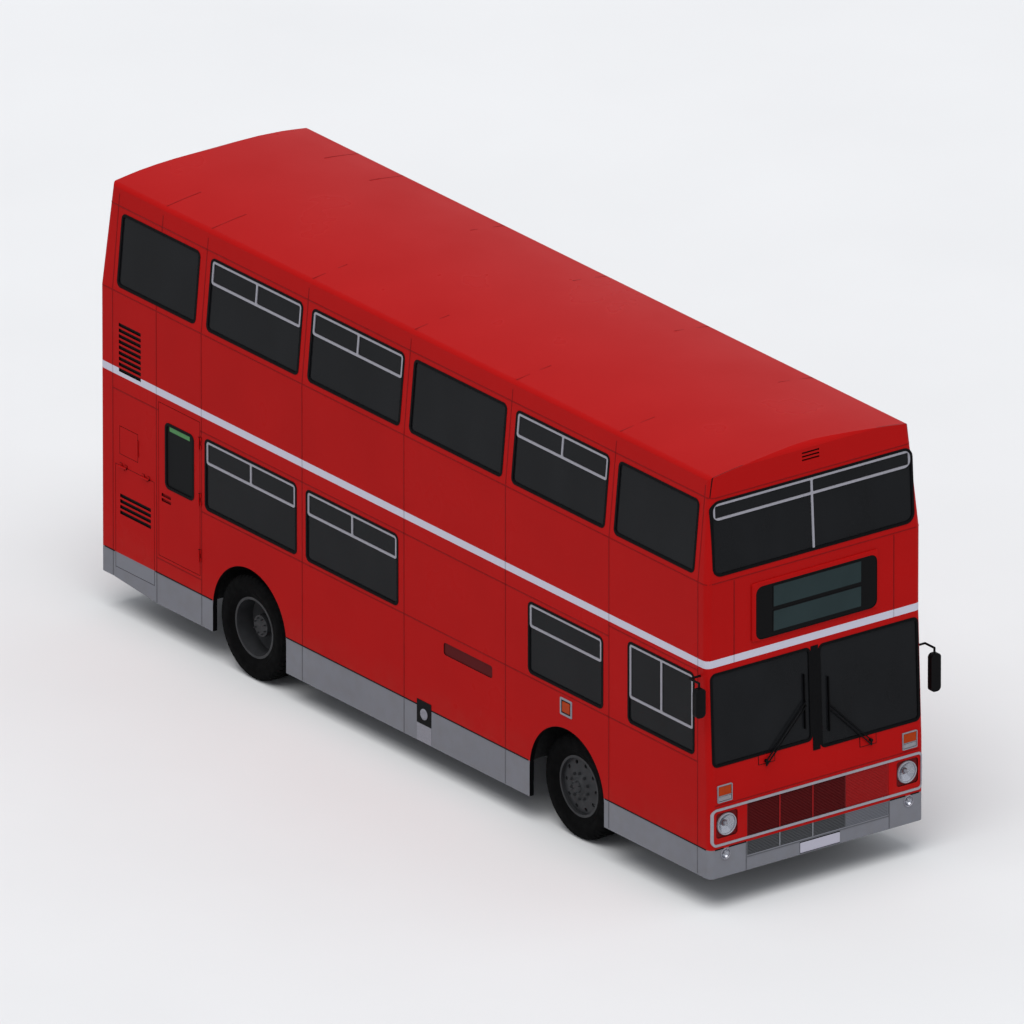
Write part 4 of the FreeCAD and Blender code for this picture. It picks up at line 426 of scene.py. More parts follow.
SPECIAL = {      # nodes whose finish has details of their own
    "front_lower_panel": coach_paint("front_coach_paint", [sunk_front]),
    "rear_bonnet": coach_paint("bonnet_coach_paint", [sunk_rear]),
    "engine_hatch": coach_paint("hatch_coach_paint", [sunk_sides, grey_foot]),
    "emergency_door": coach_paint("exit_coach_paint", [exit_fittings]),
    "wheelhouses": simple("wheelhouse_black", BLACK, 0.8, scale=30, bump=0.2),
}
for part in frame["record"]["subparts"]:
    for holder in NODES[part["node"]].material_slots:
        holder.material = SPECIAL.get(part["node"], MATERIALS[part["material_slot"]])

RED_TRIM = red_moulding()
PLAIN_RED = simple("sign_border_red", RED, 0.4, scale=2, amount=0.05, Specular_IOR_Level=0.02)
GREY_TRIM = simple("grey_moulding", (0.105, 0.107, 0.12), 0.5, scale=20, Specular_IOR_Level=0.1)
CLEAR_LENS = ribbed_lens("clear_lens", (0.20, 0.205, 0.23), 0.16, "X", 0.014)
CLEAR_BLOCK = ribbed_lens("clear_block", (0.27, 0.265, 0.29))
PLATE_WHITE = simple("blank_plate", (0.42, 0.41, 0.49), 0.4, scale=120, amount=0.05, bump=0.05)
PLATE_GREY = simple("grey_plate", (0.215, 0.215, 0.25), 0.5, scale=60)
STRIP_GREEN = simple("green_strip", (0.03, 0.20, 0.035), 0.4, scale=60)
MIRROR_GLASS = simple("mirror_glass", (0.6, 0.62, 0.64), 0.05, 1.0, scale=4, amount=0.05)
BRIGHT, RUBBER = MATERIALS["bright_metal"], MATERIALS["black_rubber"]
PLASTIC, REFLECTOR = MATERIALS["black_plastic"], MATERIALS["lamp_glass"]


# -------------------------------- mesh tools
def facing(side, x=0.0, y=0.0, z=0.0, lean=0.0):
    """A frame on one face of the bus, seen from outside: local X to the right, Y up the face, Z out of it. A
    lean tips the top of the face back towards the middle of the bus."""
    across, out = {
        "right": ((0, -1, 0), (-1, 0, 0)), "left": ((0, 1, 0), (1, 0, 0)),
        "front": ((1, 0, 0), (0, -1, 0)), "rear": ((-1, 0, 0), (0, 1, 0)),
    }[side]
    across, out, up = Vector(across), Vector(out), Vector((0, 0, 1))
    up, out = up * math.cos(lean) - out * math.sin(lean), out * math.cos(lean) + up * math.sin(lean)
    return Matrix.Translation((x, y, z)) @ Matrix((across, up, out)).transposed().to_4x4()


def rounded_rect(width, height, radius, steps=5):
    """The outline of a rectangle with rounded corners, centred on the origin."""
    points = []
    for turn, (sx, sy) in enumerate(((1, 1), (-1, 1), (-1, -1), (1, -1))):
        for i in range(steps + 1):
            angle = math.radians(90 * turn + 90 * i / steps)
            points.append((sx * (width / 2 - radius) + radius * math.cos(angle),
                           sy * (height / 2 - radius) + radius * math.sin(angle)))
    return points


def cleaned(mesh, weld):
    """Welds a mesh's points within that distance, and turns its faces outwards."""
    work = bmesh.new()
    work.from_mesh(mesh)
    bmesh.ops.remove_doubles(work, verts=work.verts, dist=weld)
    bmesh.ops.recalc_face_normals(work, faces=work.faces)
    work.to_mesh(mesh)
    work.free()


class Piece:
    """A mesh in the making, with the materials that its faces take."""

    def __init__(self, name, *materials):
        self.name, self.materials = name, materials
        self.points, self.faces, self.skins = [], [], []

    def rows(self, rows, skin=0, around=False, closed=False):
        """Joins rows of points with faces: around closes each row on itself, and closed joins the last row
        to the first."""
        start, width, count = len(self.points), len(rows[0]), len(rows)
        for row in rows:
            self.points.extend(row)
        for i in range(count if closed else count - 1):
            for j in range(width if around else width - 1):
                a, b = start + i * width, start + (i + 1) % count * width
                k = (j + 1) % width
                self.faces.append((a + j, a + k, b + k, b + j))
                self.skins.append(skin)
        return self

    def cap(self, row, skin=0):
        start = len(self.points)
        self.points.extend(row)
        self.faces.append(tuple(range(start, start + len(row))))
        self.skins.append(skin)
        return self

    def plate(self, where, width, height, radius, low, high, bevel=0.001, skin=0):
        """A rounded plate from low to high off a face, with its outer edge bevelled."""
        big = rounded_rect(width, height, radius)
        small = rounded_rect(width - 2 * bevel, height - 2 * bevel, radius - bevel)
        lift = [(big, low), (big, high - bevel), (small, high)]
        rows = [[where @ Vector((x, y, z)) for x, y in outline] for outline, z in lift]
        return self.rows(rows, skin, around=True).cap(rows[-1], skin)

    def ring(self, where, width, height, radius, border, low, high, bevel=0.001, skin=0):
        """A rounded frame with a border of that width."""
        def at(inset, z):
            outline = rounded_rect(width - 2 * inset, height - 2 * inset, max(radius - inset, 0.001))
            return [where @ Vector((x, y, z)) for x, y in outline]
        rows = [at(0, low), at(0, high - bevel), at(bevel, high),
                at(border - bevel, high), at(border, high - bevel), at(border, low)]
        return self.rows(rows, skin, around=True, closed=True)

    def lathe(self, where, profile, steps=32, skin=0):
        """A profile of (radius, height) turned about a face's normal."""
        turns = [math.tau * i / steps for i in range(steps)]
        rows = [[where @ Vector((radius * math.cos(t), radius * math.sin(t), height)) for t in turns]
                for radius, height in profile]
        return self.rows(rows, skin, around=True)

    def tube(self, points, radius, steps=8, skin=0, closed=False):
        """A round bar through points."""
        rows, count = [], len(points)
        turns = [math.tau * j / steps for j in range(steps)]
        for i, point in enumerate(points):
            before = points[i - 1] if i or closed else point
            after = points[(i + 1) % count] if i < count - 1 or closed else point
            way = (after - before).normalized()
            side = way.cross(Vector((0.31, 0.17, 0.94))).normalized()
            top = way.cross(side)
            rows.append([point + radius * (side * math.cos(t) + top * math.sin(t)) for t in turns])
        return self.rows(rows, skin, around=True, closed=closed)

    def made(self, body, slot, replaces=(), angle=35, weld=1e-6):
        """The finished object, riding on a body and standing for the nodes that it replaces."""
        mesh = bpy.data.meshes.new(self.name)
        mesh.from_pydata(self.points, [], self.faces)
        for material in self.materials:
            mesh.materials.append(material)
        mesh.polygons.foreach_set("material_index", self.skins)
        cleaned(mesh, weld)
        mesh.shade_smooth()
        mesh.set_sharp_from_angle(angle=math.radians(angle))
        obj = bpy.data.objects.new(self.name, mesh)
        bpy.context.scene.collection.objects.link(obj)
        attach(obj, body)
        if replaces:
            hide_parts(*replaces)
        return obj


# -------------------------------- panel mouldings
SKIN = ("side_wall_right", "side_wall_left", "upper_side_walls", "side_skirts", "roof", "front_lower_panel",
        "front_upper_panel", "front_bumper", "rear_panel", "rear_bumper")
SEAM_WIDTH, SEAM_PROUD, SEAM_SUNK = 0.014, 0.0022, 0.0005
SEAM_STEP = 0.02                                # between the rays that find the skin
SEAM_BEVEL = 0.14                               # each bevel's share of the width
SIDE_RAY, END_RAY, LOW_RAY = 0.22, 0.35, 0.15   # how far in the skin is looked for


def skin_tree(names):
    """A ray tree of the body's outer panels."""
    points, faces = [], []
    for name in names:
        mesh = NODES[name].data
        start = len(points)
        points += [v.co.copy() for v in mesh.vertices]
        faces += [tuple(start + i for i in p.vertices) for p in mesh.polygons]
    return BVHTree.FromPolygons(points, faces)


def straight(before, point, after):
    """Whether a point adds nothing to the line from its neighbour before to the one after."""
    run = after - before
    if run.length < 1e-9:
        return True
    return (point - before).cross(run).length / run.length < 0.00012


def moulding(piece, tree, start, end, across, inward, depth, skin=0):
    """A flat bead along a line outside the body, laid on the skin that lies inward of it. It stops where the
    skin is missing or sunk, as at a window."""
    count = max(2, int((end - start).length / SEAM_STEP))
    runs, run, last = [], [], None
    for i in range(count + 1):
        spot = start.lerp(end, i / count)
        hits = []
        for offset in (-0.5, 0.5):
            place, normal, _, _ = tree.ray_cast(spot + across * SEAM_WIDTH * offset, inward, depth)
            if place is not None and normal.dot(inward) < -0.2:
                hits.append((place, normal))
        level = len(hits) == 2 and abs((hits[0][0] - hits[1][0]).dot(inward)) < 0.012
        if level and (last is None or abs((hits[0][0] - last).dot(inward)) < 0.03):
            run.append(hits)
            last = hits[0][0]
        else:
            runs.append(run)
            run, last = [], None
    runs.append(run)
    for run in runs:
        if len(run) < 3:
            continue
        bends = [b for a, b, c in zip(run, run[1:], run[2:]) if not straight(a[0][0], b[0][0], c[0][0])]
        rows = []
        for (left, left_normal), (right, right_normal) in [run[0], *bends, run[-1]]:
            bevel = (right - left) * SEAM_BEVEL
            rows.append([left - left_normal * SEAM_SUNK, left + left_normal * SEAM_PROUD + bevel,
                         right + right_normal * SEAM_PROUD - bevel, right - right_normal * SEAM_SUNK])
        piece.rows(rows, skin)


SIDE_POSTS = (4.565, 3.875, 3.165, 1.580, -0.015, -1.595, -3.198, -4.568)
LONG_SEAMS = (
    # height, from, to along Y
    (GUTTER, 4.70, -4.66), (WAIST, 4.72, -4.70), (2.277, 4.565, -3.198), (2.382, -3.198, -4.568),
    (1.467, 3.165, -4.568), (1.522, 4.565, 3.875), (0.772, 3.875, 3.165),
)


def body_seams():
    """The cover strips over the joints of the body's panels, on both sides, the front and the back."""
    tree = skin_tree(SKIN)
    piece = Piece("panel_mouldings", RED_TRIM, GREY_TRIM, RUBBER)
    grey, black = 1, 2
    along, up, over, down = Vector((0, 1, 0)), Vector((0, 0, 1)), Vector((1, 0, 0)), Vector((0, 0, -1))

    def seam(start, end, *way):
        moulding(piece, tree, Vector(start), Vector(end), *way)

    for sign, _ in SIDES:
        outside, inward = sign * (HALF + 0.05), Vector((-sign, 0, 0))
        for y in SIDE_POSTS:
            seam((outside, y, SKIRT_TOP + 0.01), (outside, y, 4.215), along, inward, SIDE_RAY)
            seam((outside, y, 0.27), (outside, y, SKIRT_TOP - 0.01), along, inward, SIDE_RAY, grey)
        for z, start, end in LONG_SEAMS:
            if sign == LEFT and z < 2.0:
                start = min(start, SIDE_POSTS[2])
            seam((outside, start, z), (outside, end, z), up, inward, SIDE_RAY)
        seam((outside, 4.7, SKIRT_TOP), (outside, -4.70, SKIRT_TOP), up, inward, 0.1, black)
        for y in SIDE_POSTS[1:-1]:
            seam((sign * 1.12, y, 4.5), (sign * 0.72, y, 4.5), along, down, 0.4)
    ahead, back = Vector((0, 1, 0)), Vector((0, -1, 0))
    before, behind = NOSE - 0.1, TAIL + 0.1
    for z in (GUTTER, WAIST, 1.062):
        seam((-1.19, before, z), (1.19, before, z), up, ahead, END_RAY)
    for x in (-0.93, 0.93):
        seam((x, before, 2.43), (x, before, 3.25), over, ahead, END_RAY)
    for x in (-0.826, 0.843):
        seam((x, before, 0.34), (x, before, SKIRT_TOP), over, ahead, LOW_RAY, grey)
    seam((-0.82, before, 0.468), (0.836, before, 0.468), up, ahead, LOW_RAY, grey)
    seam((-1.19, before, SKIRT_TOP), (1.19, before, SKIRT_TOP), up, ahead, LOW_RAY, black)
    for z in (GUTTER, WAIST, 2.33, 1.53, SKIRT_TOP):
        seam((-1.2, behind, z), (1.2, behind, z), up, back, END_RAY)
    piece.made("body", "red_paint")


# -------------------------------- lamps
def round_lamps():
    """Headlamps above and fog lamps below: a bright rim, a bowl with its bulb shield, and a fluted glass."""
    piece = Piece("round_lamps", BRIGHT, REFLECTOR, CLEAR_LENS)
    reflector, lens = 1, 2
    for place, height, radius in ((1.052, 0.857, 0.1095), (1.068, 0.562, 0.0565)):
        bowl, shield = radius * 0.86, radius * 0.2
        rim = [(radius, -0.036), (radius, 0.001), (radius * 0.98, 0.006), (radius * 0.93, 0.008),
               (radius * 0.88, 0.004), (bowl, -0.004), (bowl, -0.008)]
        turns = [math.radians(90 - 10 * i) for i in range(9)]
        dish = [(bowl * math.sin(t), -0.008 - 0.036 * (1 - math.sin(t) ** 2)) for t in turns]
        bulb = [(shield, -0.043), (shield, -0.018), (shield * 0.8, -0.011), (0.0, -0.008)]
        dome = [(bowl * t, 0.009 * (1 - t ** 2)) for t in (1 - i / 6 for i in range(7))]
        for sign, _ in SIDES:
            where = facing("front", sign * place, NOSE, height)
            piece.lathe(where, rim, 48).lathe(where, dish + [(0.0, -0.045)], 48, reflector)
            piece.lathe(where, bulb, 24).lathe(where, dome, 48, lens)
    piece.made("body", "lamp_glass", ["headlamps"])


def flank_lamps():
    """Front direction lamps, amber over clear with a bar between, and a side repeater on each flank."""
    piece = Piece("direction_lamps", PLATE_GREY, MATERIALS["amber_lens"], CLEAR_BLOCK, PLASTIC)
    grey, amber, clear, black = range(4)
    low, high, inner, outer = 1.087, 1.259, 0.992, 1.165
    width, height = outer - inner, high - low
    panes = (
        # middle as a share of the lamp's height, width, height, corner, front, bevel, finish
        (0.17, width - 0.026, height * 0.54, 0.006, 0.007, 0.003, amber),
        (-0.12, width - 0.024, 0.006, 0.002, 0.008, 0.001, grey),
        (-0.29, width - 0.026, height * 0.25, 0.006, 0.006, 0.003, clear),
    )
    for sign, side in SIDES:
        where = facing("front", sign * (inner + outer) / 2, NOSE, (low + high) / 2)
        piece.ring(where, width, height, 0.012, 0.010, -0.03, 0.010, 0.002)
        piece.plate(where, width - 0.02, height - 0.02, 0.006, -0.03, -0.002, skin=black)
        for middle, wide, tall, corner, front, bevel, skin in panes:
            pane = where @ Matrix.Translation((0, height * middle, 0))
            piece.plate(pane, wide, tall, corner, -0.01, front, bevel, skin)
        where = facing(side, sign * HALF, REPEATER_Y, 1.3415)
        piece.ring(where, 0.184, 0.173, 0.012, 0.020, 0.0, 0.008, 0.002)
        piece.plate(where, 0.17, 0.16, 0.006, 0.0, 0.002, skin=black)
        piece.plate(where, 0.116, 0.105, 0.010, 0.0, 0.0078, 0.003, amber)
    piece.made("body", "amber_lens", ["amber_lamps"])


def tail_lamps():
    """Three ribbed lenses up each rear corner, on black seats."""
    piece = Piece("tail_lamps", PLASTIC, MATERIALS["amber_lens"], MATERIALS["red_lens"])
    amber, red = 1, 2
    for sign, _ in SIDES:
        for i, skin in enumerate((red, red, amber)):
            where = facing("rear", sign * 1.075, TAIL, 0.755 + 0.150 * i)
            piece.ring(where, 0.150, 0.130, 0.014, 0.008, 0.0, 0.004, 0.001)
            piece.plate(where, 0.136, 0.116, 0.010, 0.0, 0.0078, 0.003, skin)
    piece.made("body", "red_lens", ["rear_lamps"])


# -------------------------------- plates and small trim
def front_trim():
    """The blank number plate, the blank destination glasses and the covers over the wiper motors."""
    plate = Piece("front_number_plate", PLATE_WHITE, RUBBER)
    where = facing("front", 0.031, NOSE, 0.4025)
    # painted shadow: the black rubber back stands out past the white plate above and below as the shadow
    # round it
    plate.plate(where, 0.466, 0.116, 0.004, 0.0, 0.003, skin=1)
    plate.plate(where, 0.462, 0.100, 0.006, 0.003, 0.006, 0.001)
    plate.made("body", "bright_metal")

    box_low, box_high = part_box("destination_box")
    opening = (1.412, 0.534, 0.075)             # width, height and corner
    glasses = glass("destination_glass", (0.017, 0.029, 0.031), 1.0)
    sign = Piece("destination_glasses", glasses, RUBBER, PLASTIC)
    where = facing("front", 0.018, box_low.y, 2.853)
    sign.ring(where, *opening, 0.008, 0.0, 0.0035, 0.0012, 1)
    for low, high in ((0.018, 0.246), (-0.226, -0.006)):
        pane = where @ Matrix.Translation((0.010, (low + high) / 2, 0))
        sign.ring(pane, 1.04, high - low, 0.012, 0.010, 0.0, 0.0035, 0.001, 2)
        sign.plate(pane, 1.022, high - low - 0.018, 0.006, 0.0, 0.0015, 0.0005)
    sign.made("body", "box_glass")

    border = Piece("destination_border", PLAIN_RED)
    outline = rounded_rect(box_high.x - box_low.x + 0.001, box_high.z - box_low.z + 0.001, 0.020)
    edge = facing("front", (box_low.x + box_high.x) / 2, box_low.y, (box_low.z + box_high.z) / 2)
    outer, brink = ([edge @ Vector((x, y, z)) for x, y in outline] for z in (-0.030, 0.0015))
    face = [edge @ Vector((x * 0.997, y * 0.994, 0.003)) for x, y in outline]
    lip, foot = ([where @ Vector((x, y, z)) for x, y in rounded_rect(*opening)] for z in (0.003, 0.0))
    border.rows([outer, brink, face, lip, foot], around=True)
    border.made("body", "red_paint")

    covers = Piece("wiper_motor_covers", PLAIN_RED, RUBBER)
    for x, z in ((-0.5845, 1.402), (0.595, 1.292)):
        where = facing("front", x, NOSE + (z - SCREEN_FOOT) * math.tan(SCREEN_LEAN), z, SCREEN_LEAN)
        covers.ring(where, 0.196, 0.108, 0.008, 0.007, 0.0, 0.0025, 0.0008, 1)
        covers.plate(where, 0.183, 0.095, 0.006, 0.0, 0.004, 0.0015)
    covers.made("body", "red_paint")


def side_trim():
    """The socket plate low on the right side, and the blank green strip in the emergency door's window."""
    plate = Piece("socket_plate", PLASTIC, PLATE_GREY, BRIGHT)
    middle = -0.330
    where = facing("right", -HALF, middle, 0.5635)
    plate.plate(where, 0.224, 0.237, 0.006, -0.002, 0.004)
    boss = [(0.055, 0.003), (0.055, 0.008), (0.052, 0.010), (0.030, 0.010), (0.028, 0.007), (0.0, 0.007)]
    plate.lathe(facing("right", -HALF, -0.332, 0.552), boss, 32, 1)
    skirt_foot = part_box("side_skirts")[0].z
    strip_height = 0.445 - skirt_foot - 0.004
    where = facing("right", -HALF, middle, 0.445 - strip_height / 2)
    plate.plate(where, 0.224, strip_height, 0.003, -0.002, 0.003, skin=1)
    plate.made("body", "black_plastic")

    strip = Piece("exit_window_strip", STRIP_GREEN)
    where = facing("right", -HALF + 0.008, (3.358 + 3.675) / 2, (2.113 + 2.157) / 2)
    strip.plate(where, 0.317, 0.044, 0.002, 0.0, 0.0015, 0.0003)
    strip.made("emergency_door", "bright_metal")


def mirror_glasses():
    """The silvered glass on the back of each mirror head, in a rubber edge."""
    piece = Piece("mirror_glasses", MIRROR_GLASS, RUBBER)
    back = -4.780 + 0.058
    for sign, top, tall in ((RIGHT, 2.290, 0.290), (LEFT, 1.975, 0.380)):
        where = facing("rear", sign * 1.372, back, top - tall / 2)
        piece.ring(where, 0.108, tall - 0.004, 0.040, 0.007, -0.001, 0.003, 0.001, 1)
        piece.plate(where, 0.096, tall - 0.016, 0.034, -0.001, 0.0012, 0.0004)
    piece.made("body", "black_plastic")


LEAVES = {     # each entrance leaf's range along Y
    "door_rear_outer": (-3.591, -3.300), "door_rear_inner": (-3.8835, -3.597),
    "door_front_outer": (-4.480, -4.189), "door_front_inner": (-4.183, -3.8965),
}
LEAF_LIGHTS = ((0.442, 1.212), (1.272, 2.262))
LEAF_STILES = 0.084                             # what a leaf is wider than its lights
LAP = 0.020                                     # what a rubber is wider and taller than its light


def leaf_rubbers():
    """The rubbers round the entrance leaves' lights, outside and in."""
    for name, (front, rear) in LEAVES.items():
        piece = Piece(f"{name}_rubbers", RUBBER)
        for low, high in LEAF_LIGHTS:
            width, height = rear - front - LEAF_STILES + LAP, high - low + LAP
            for side, face in (("left", LEAF_FACE), ("right", LEAF_PLANE * 2 - LEAF_FACE)):
                where = facing(side, face, (front + rear) / 2, (low + high) / 2)
                piece.ring(where, width, height, 0.036, 0.016, -0.001, 0.0025, 0.001)
        piece.made(name, "black_rubber")


# -------------------------------- wheels
CROWN, SHOULDER, GROOVE = 0.080, 0.106, 0.011
TYRE_PITCHES = 54


def tread_profile(turn):
    """Across the tyre from its inner bead to its outer one: (place, radius) at a turn from 0 to 1 round a
    pitch. Three zigzag grooves run round the crown, and a slot crosses each shoulder once a pitch."""
    zigzag = 0.006 * (abs(turn * 2 - 1) * 2 - 1)
    deep = TYRE_RADIUS - GROOVE
    grooves = []
    for middle in (-0.042, 0.0, 0.042):
        edge = middle + zigzag
        grooves += [(edge - 0.006, TYRE_RADIUS), (edge - 0.004, deep),
                    (edge + 0.004, deep), (edge + 0.006, TYRE_RADIUS)]
    slot = 0.5 < turn < 0.85
    top = TYRE_RADIUS - (0.007 if slot else 0.0)
    edge = 0.512 - (0.007 if slot else 0.0)
    low = 0.495 - (0.004 if slot else 0.0)
    half = [(0.072, TYRE_RADIUS), (0.0735, top), (CROWN, top), (SHOULDER, edge), (0.119, low),
            (0.132, 0.478), (0.1375, 0.440), (0.1385, 0.437), (0.1400, 0.410), (0.1400, 0.392),
            (0.1330, 0.365), (0.1345, 0.362), (0.1270, 0.342), (0.1060, 0.3005)]
    return [(-x, r) for x, r in reversed(half)] + grooves + half


def tyres(name, body, sign, side, which):
    """Treaded tyres that stand for the plain ones of a wheel."""
    piece = Piece(name, MATERIALS["tyre_black"])
    stations = (0.0, 0.25, 0.49, 0.51, 0.75, 0.84, 0.86)
    for centre in TRACKS[which]:
        where = facing(side, sign * centre, AXLE_Y[which], AXLE_Z)
        rows = []
        for i in range(TYRE_PITCHES):
            for turn in stations:
                angle = math.tau * (i + turn) / TYRE_PITCHES
                c, s = math.cos(angle), math.sin(angle)
                rows.append([where @ Vector((r * c, r * s, x)) for x, r in tread_profile(turn)])
        piece.rows(rows, closed=True)
    piece.made(body, "tyre_black", [name.replace("treaded_", "")], angle=30)


def nuts(piece, where, ring, height, count, size):
    """Hexagon nuts on washers round a circle, with the stud's end in each."""
    washer = [(size * 1.25, -0.004), (size * 1.25, 0.002), (size, 0.002)]
    nut = [(size, 0.002), (size, 0.014), (size * 0.86, 0.017), (size * 0.5, 0.017)]
    stud = [(size * 0.5, 0.017), (size * 0.5, 0.024), (size * 0.42, 0.026), (0.0, 0.026)]
    for i in range(count):
        angle = math.tau * (i + 0.5) / count
        spot = where @ Matrix.Translation((ring * math.cos(angle), ring * math.sin(angle), height))
        piece.lathe(spot, washer, 16).lathe(spot, nut, 6).lathe(spot, stud, 12)


WHEELS = (
    # which, body, its nuts as (ring, height, count, size), its cap's profile, its valve's (radius, height)
    ("front", "front_wheel", ((0.128, 0.098, 10, 0.0135), (0.056, 0.130, 6, 0.006)),
     ((0.062, 0.126), (0.062, 0.132), (0.050, 0.137), (0.020, 0.139), (0.0, 0.139)),
     ((0.262, 0.075), (0.250, 0.092), (0.232, 0.104))),
    ("rear", "rear_wheels", ((0.140, -0.142, 10, 0.0135), (0.080, 0.034, 8, 0.007)), None,
     ((0.262, -0.02), (0.240, 0.02), (0.215, 0.035))),
)


def wheel_fittings():
    """Nuts and a tyre valve on each wheel, and the front hubs' caps and bolts."""
    dark = simple("wheel_steel", (0.034, 0.035, 0.038), 0.5, 0.1, scale=60, Specular_IOR_Level=0.1)
    for sign, side in SIDES:
        for which, body, rings, cap, valve in WHEELS:
            where = facing(side, sign * TRACKS[which][0], AXLE_Y[which], AXLE_Z)
            piece = Piece(f"{which}_wheel_fittings_{side}", dark)
            for ring in rings:
                nuts(piece, where, *ring)
            if cap:
                piece.lathe(where, cap, 32)
            piece.tube([where @ Vector((radius, 0.0, height)) for radius, height in valve], 0.004)
            piece.made(f"{body}_{side}", "wheel_paint")


# -------------------------------- seats
SEAT_PITCH, SEAT_RISE, SEAT_WIDTH = 0.735, 0.330, 0.84
PAD_SIZE, BACK_SIZE = (0.82, 0.41, 0.070), (0.82, 0.58, 0.028)
PAD_SWELL, BACK_SWELL = 0.014, 0.008            # the furthest that a point of each may travel
PAD_LAYERS = ((0.97, 0.0), (0.985, 0.25), (0.985, 0.75), (0.955, 1.0), (0.90, 1.0))     # scale, height
SWELL_FRAMES = 20
THINNED = 0.35                                  # the share of a swelled form's triangles that is kept
ACROSS = {RIGHT: -0.750, LEFT: 0.750}


def seat_places():
    """Where each seat's cushion has the middle of its back edge, with its width, on both decks."""
    def column(side, first, floor, numbers):
        return [(ACROSS[side], first + i * SEAT_PITCH, floor + SEAT_RISE, SEAT_WIDTH) for i in numbers]

    lower = column(LEFT, -1.350, LOWER_FLOOR, range(5)) + column(RIGHT, -1.350, LOWER_FLOOR, (3, 4))
    lower += [(ACROSS[LEFT], 3.690, LOWER_FLOOR + SEAT_RISE, SEAT_WIDTH),
              (-0.790, -3.500, CAB_FLOOR + SEAT_RISE, 0.46)]
    upper = column(LEFT, -3.750, UPPER_FLOOR, range(11))
    upper += column(RIGHT, -3.750, UPPER_FLOOR, (0, 1, 2, 6, 7, 8, 9, 10))
    return lower, upper


def evaluated(obj):
    """A mesh of what an object's modifiers make of it."""
    return bpy.data.meshes.new_from_object(obj.evaluated_get(bpy.context.evaluated_depsgraph_get()))


def cushion(name, width, length, thick, swell):
    """One padded form, swelled by cloth simulation: its underside is held flat and its top crowns."""
    piece = Piece(name, MATERIALS["seat_cloth"])
    edge = rounded_rect(2.0, 2.0, 0.24, 3)
    layers = [[Vector((x * scale * width / 2, y * scale * length / 2, height * thick)) for x, y in edge]
              for scale, height in PAD_LAYERS]
    piece.rows(layers, around=True).cap(layers[0]).cap(layers[-1])
    mesh = bpy.data.meshes.new(name)
    mesh.from_pydata(piece.points, [], piece.faces)
    cleaned(mesh, 1e-5)
    obj = bpy.data.objects.new(name, mesh)
    scene = bpy.context.scene
    scene.collection.objects.link(obj)
    remesh = obj.modifiers.new("remesh", "REMESH")
    remesh.mode, remesh.voxel_size = "VOXEL", max(width / 24, length / 14) * 0.42
    rest = evaluated(obj)
    obj.modifiers.clear()
    obj.data = rest
    held = obj.vertex_groups.new(name="held")
    held.add([v.index for v in rest.vertices if v.co.z < thick * 0.3], 1.0, "REPLACE")
    cloth = obj.modifiers.new("cloth", "CLOTH")
    cloth.settings.vertex_group_mass = "held"
    cloth.settings.use_pressure = True
    cloth.settings.uniform_pressure_force = 4.0
    cloth.settings.effector_weights.gravity = 0.0
    cloth.settings.quality = 6
    cloth.point_cache.frame_start, cloth.point_cache.frame_end = 1, SWELL_FRAMES
    for moment in range(1, SWELL_FRAMES + 1):
        scene.frame_set(moment)
    swelled = evaluated(obj)
    scene.frame_set(1)
    obj.modifiers.clear()
    for vertex, start in zip(swelled.vertices, rest.vertices):
        move = vertex.co - start.co
        if move.length > swell:
            vertex.co = start.co + move.normalized() * swell
    obj.data = swelled
    obj.modifiers.new("fewer", "DECIMATE").ratio = THINNED
    fewer = evaluated(obj)
    obj.modifiers.clear()
    obj.data = fewer
    return obj


def upholstery(name, places, pad, back, nodes):
    """All the cushions of one deck: the pads and backs repeated, each with a piped edge."""
    piece = Piece(name, MATERIALS["seat_cloth"], RUBBER)
    lean = Matrix.Rotation(math.radians(83), 4, "X")
    for x, y, z, width in places:
        squeeze = Matrix.Diagonal((width / SEAT_WIDTH, 1, 1, 1))
        spots = (
            (pad, Matrix.Translation((x, y - 0.215, z + 0.004)) @ squeeze, PAD_SIZE),
            (back, Matrix.Translation((x, y + 0.086, z + 0.350)) @ lean @ squeeze, BACK_SIZE),
        )
        for source, where, (across, length, thick) in spots:
            start = len(piece.points)
            piece.points += [where @ v.co for v in source.data.vertices]
            piece.faces += [tuple(start + i for i in face.vertices) for face in source.data.polygons]
            piece.skins += [0] * len(source.data.polygons)
            outline = rounded_rect(across * 0.955, length * 0.955, 0.05, 3)
            piece.tube([where @ Vector((px, py, thick)) for px, py in outline], 0.004, 5, 1, closed=True)
    obj = piece.made("body", "seat_cloth", nodes, angle=60, weld=1e-7)


def seats():
    """The seats' cushions on both decks, all repeated from one pad and one back."""
    lower, upper = seat_places()
    pad = cushion("pad_form", *PAD_SIZE, PAD_SWELL)
    back = cushion("back_form", *BACK_SIZE, BACK_SWELL)
    upholstery("lower_seat_cushions", lower, pad, back, ["seats_lower"])
    upholstery("upper_seat_cushions", upper, pad, back, ["seats_upper"])
    for form in (pad, back):
        bpy.data.objects.remove(form)


# -------------------------------- studio
FLOOR_REACH = 120.0


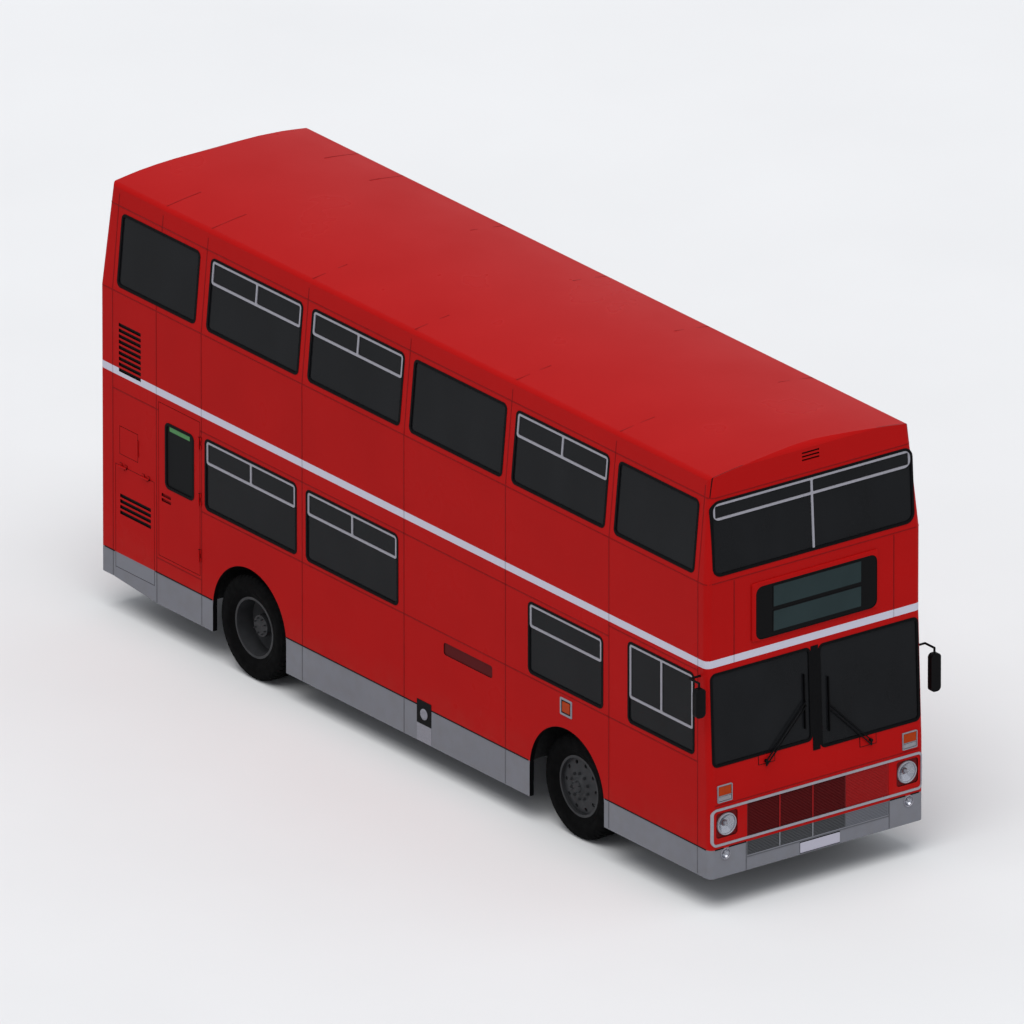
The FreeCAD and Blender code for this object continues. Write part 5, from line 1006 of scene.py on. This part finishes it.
def studio():
    """A pale floor, a soft key and fill, the photo's camera, and a sky that shows brighter than it lights."""
    scene = bpy.context.scene
    scene.view_settings.view_transform = "Standard"
    world = bpy.data.worlds.new("studio")
    scene.world = world
    world.use_nodes = True
    nodes, links = world.node_tree.nodes, world.node_tree.links
    back = nodes["Background"]
    back.inputs["Color"].default_value = (0.93, 0.95, 1.0, 1.0)
    rays = nodes.new("ShaderNodeLightPath")
    seen = rays.outputs["Is Camera Ray"]
    for kind in ("Is Glossy Ray", "Is Transmission Ray"):
        either = nodes.new("ShaderNodeMath")
        either.operation = "MAXIMUM"
        links.new(seen, either.inputs[0])
        links.new(rays.outputs[kind], either.inputs[1])
        seen = either.outputs[0]
    level = nodes.new("ShaderNodeMapRange")
    level.inputs["To Min"].default_value = 0.52
    level.inputs["To Max"].default_value = 0.84
    links.new(seen, level.inputs["Value"])
    links.new(level.outputs[0], back.inputs["Strength"])

    floor = bpy.data.meshes.new("floor")
    corners = [(x * FLOOR_REACH, y * FLOOR_REACH, 0) for x, y in ((-1, -1), (1, -1), (1, 1), (-1, 1))]
    floor.from_pydata(corners, [], [(0, 1, 2, 3)])
    plane = bpy.data.objects.new("studio_floor", floor)
    scene.collection.objects.link(plane)
    ground = Finish("pale_floor", (0.72, 0.73, 0.745), 0.85)
    ground.mottled(0.35, 0.03, 0.8, 0.9)
    floor.materials.append(ground.material)

    for name, strength, spread, place, tint in (
            ("key", 2.25, 50, (-0.47, -0.33, 1.5), (1.0, 0.985, 0.96)),
            ("fill", 0.35, 70, (0.7, -0.8, 0.7), (0.95, 0.97, 1.0))):
        lamp = bpy.data.lights.new(name, "SUN")
        lamp.energy = strength
        lamp.angle = math.radians(spread)
        lamp.color = tint
        holder = bpy.data.objects.new(name, lamp)
        holder.rotation_mode = "QUATERNION"
        holder.rotation_quaternion = Vector(place).to_track_quat("Z", "Y")
        scene.collection.objects.link(holder)

    right, up = Vector((0.8, -0.6, 0.0)), Vector((0.2252, 0.3002, 0.9269))
    back_way = right.cross(up)
    lens, sensor, width = 1700, 36, 9.6
    distance = width * lens / sensor
    target = right * 0.0267 + up * 2.008 + Vector((0, 0.025, 0.005))
    data = bpy.data.cameras.new("camera")
    data.lens, data.sensor_width = lens, sensor
    data.clip_start, data.clip_end = 10, 1000
    camera = bpy.data.objects.new("camera", data)
    turn = Matrix((right, up, back_way)).transposed().to_4x4()
    camera.matrix_world = Matrix.Translation(target + back_way * distance) @ turn
    scene.collection.objects.link(camera)
    scene.camera = camera


studio()
body_seams()
round_lamps()
flank_lamps()
tail_lamps()
front_trim()
side_trim()
mirror_glasses()
leaf_rubbers()
for side_sign, side_name in SIDES:
    tyres(f"treaded_front_tyre_{side_name}", f"front_wheel_{side_name}", side_sign, side_name, "front")
    tyres(f"treaded_rear_tyres_{side_name}", f"rear_wheels_{side_name}", side_sign, side_name, "rear")
wheel_fittings()
seats()
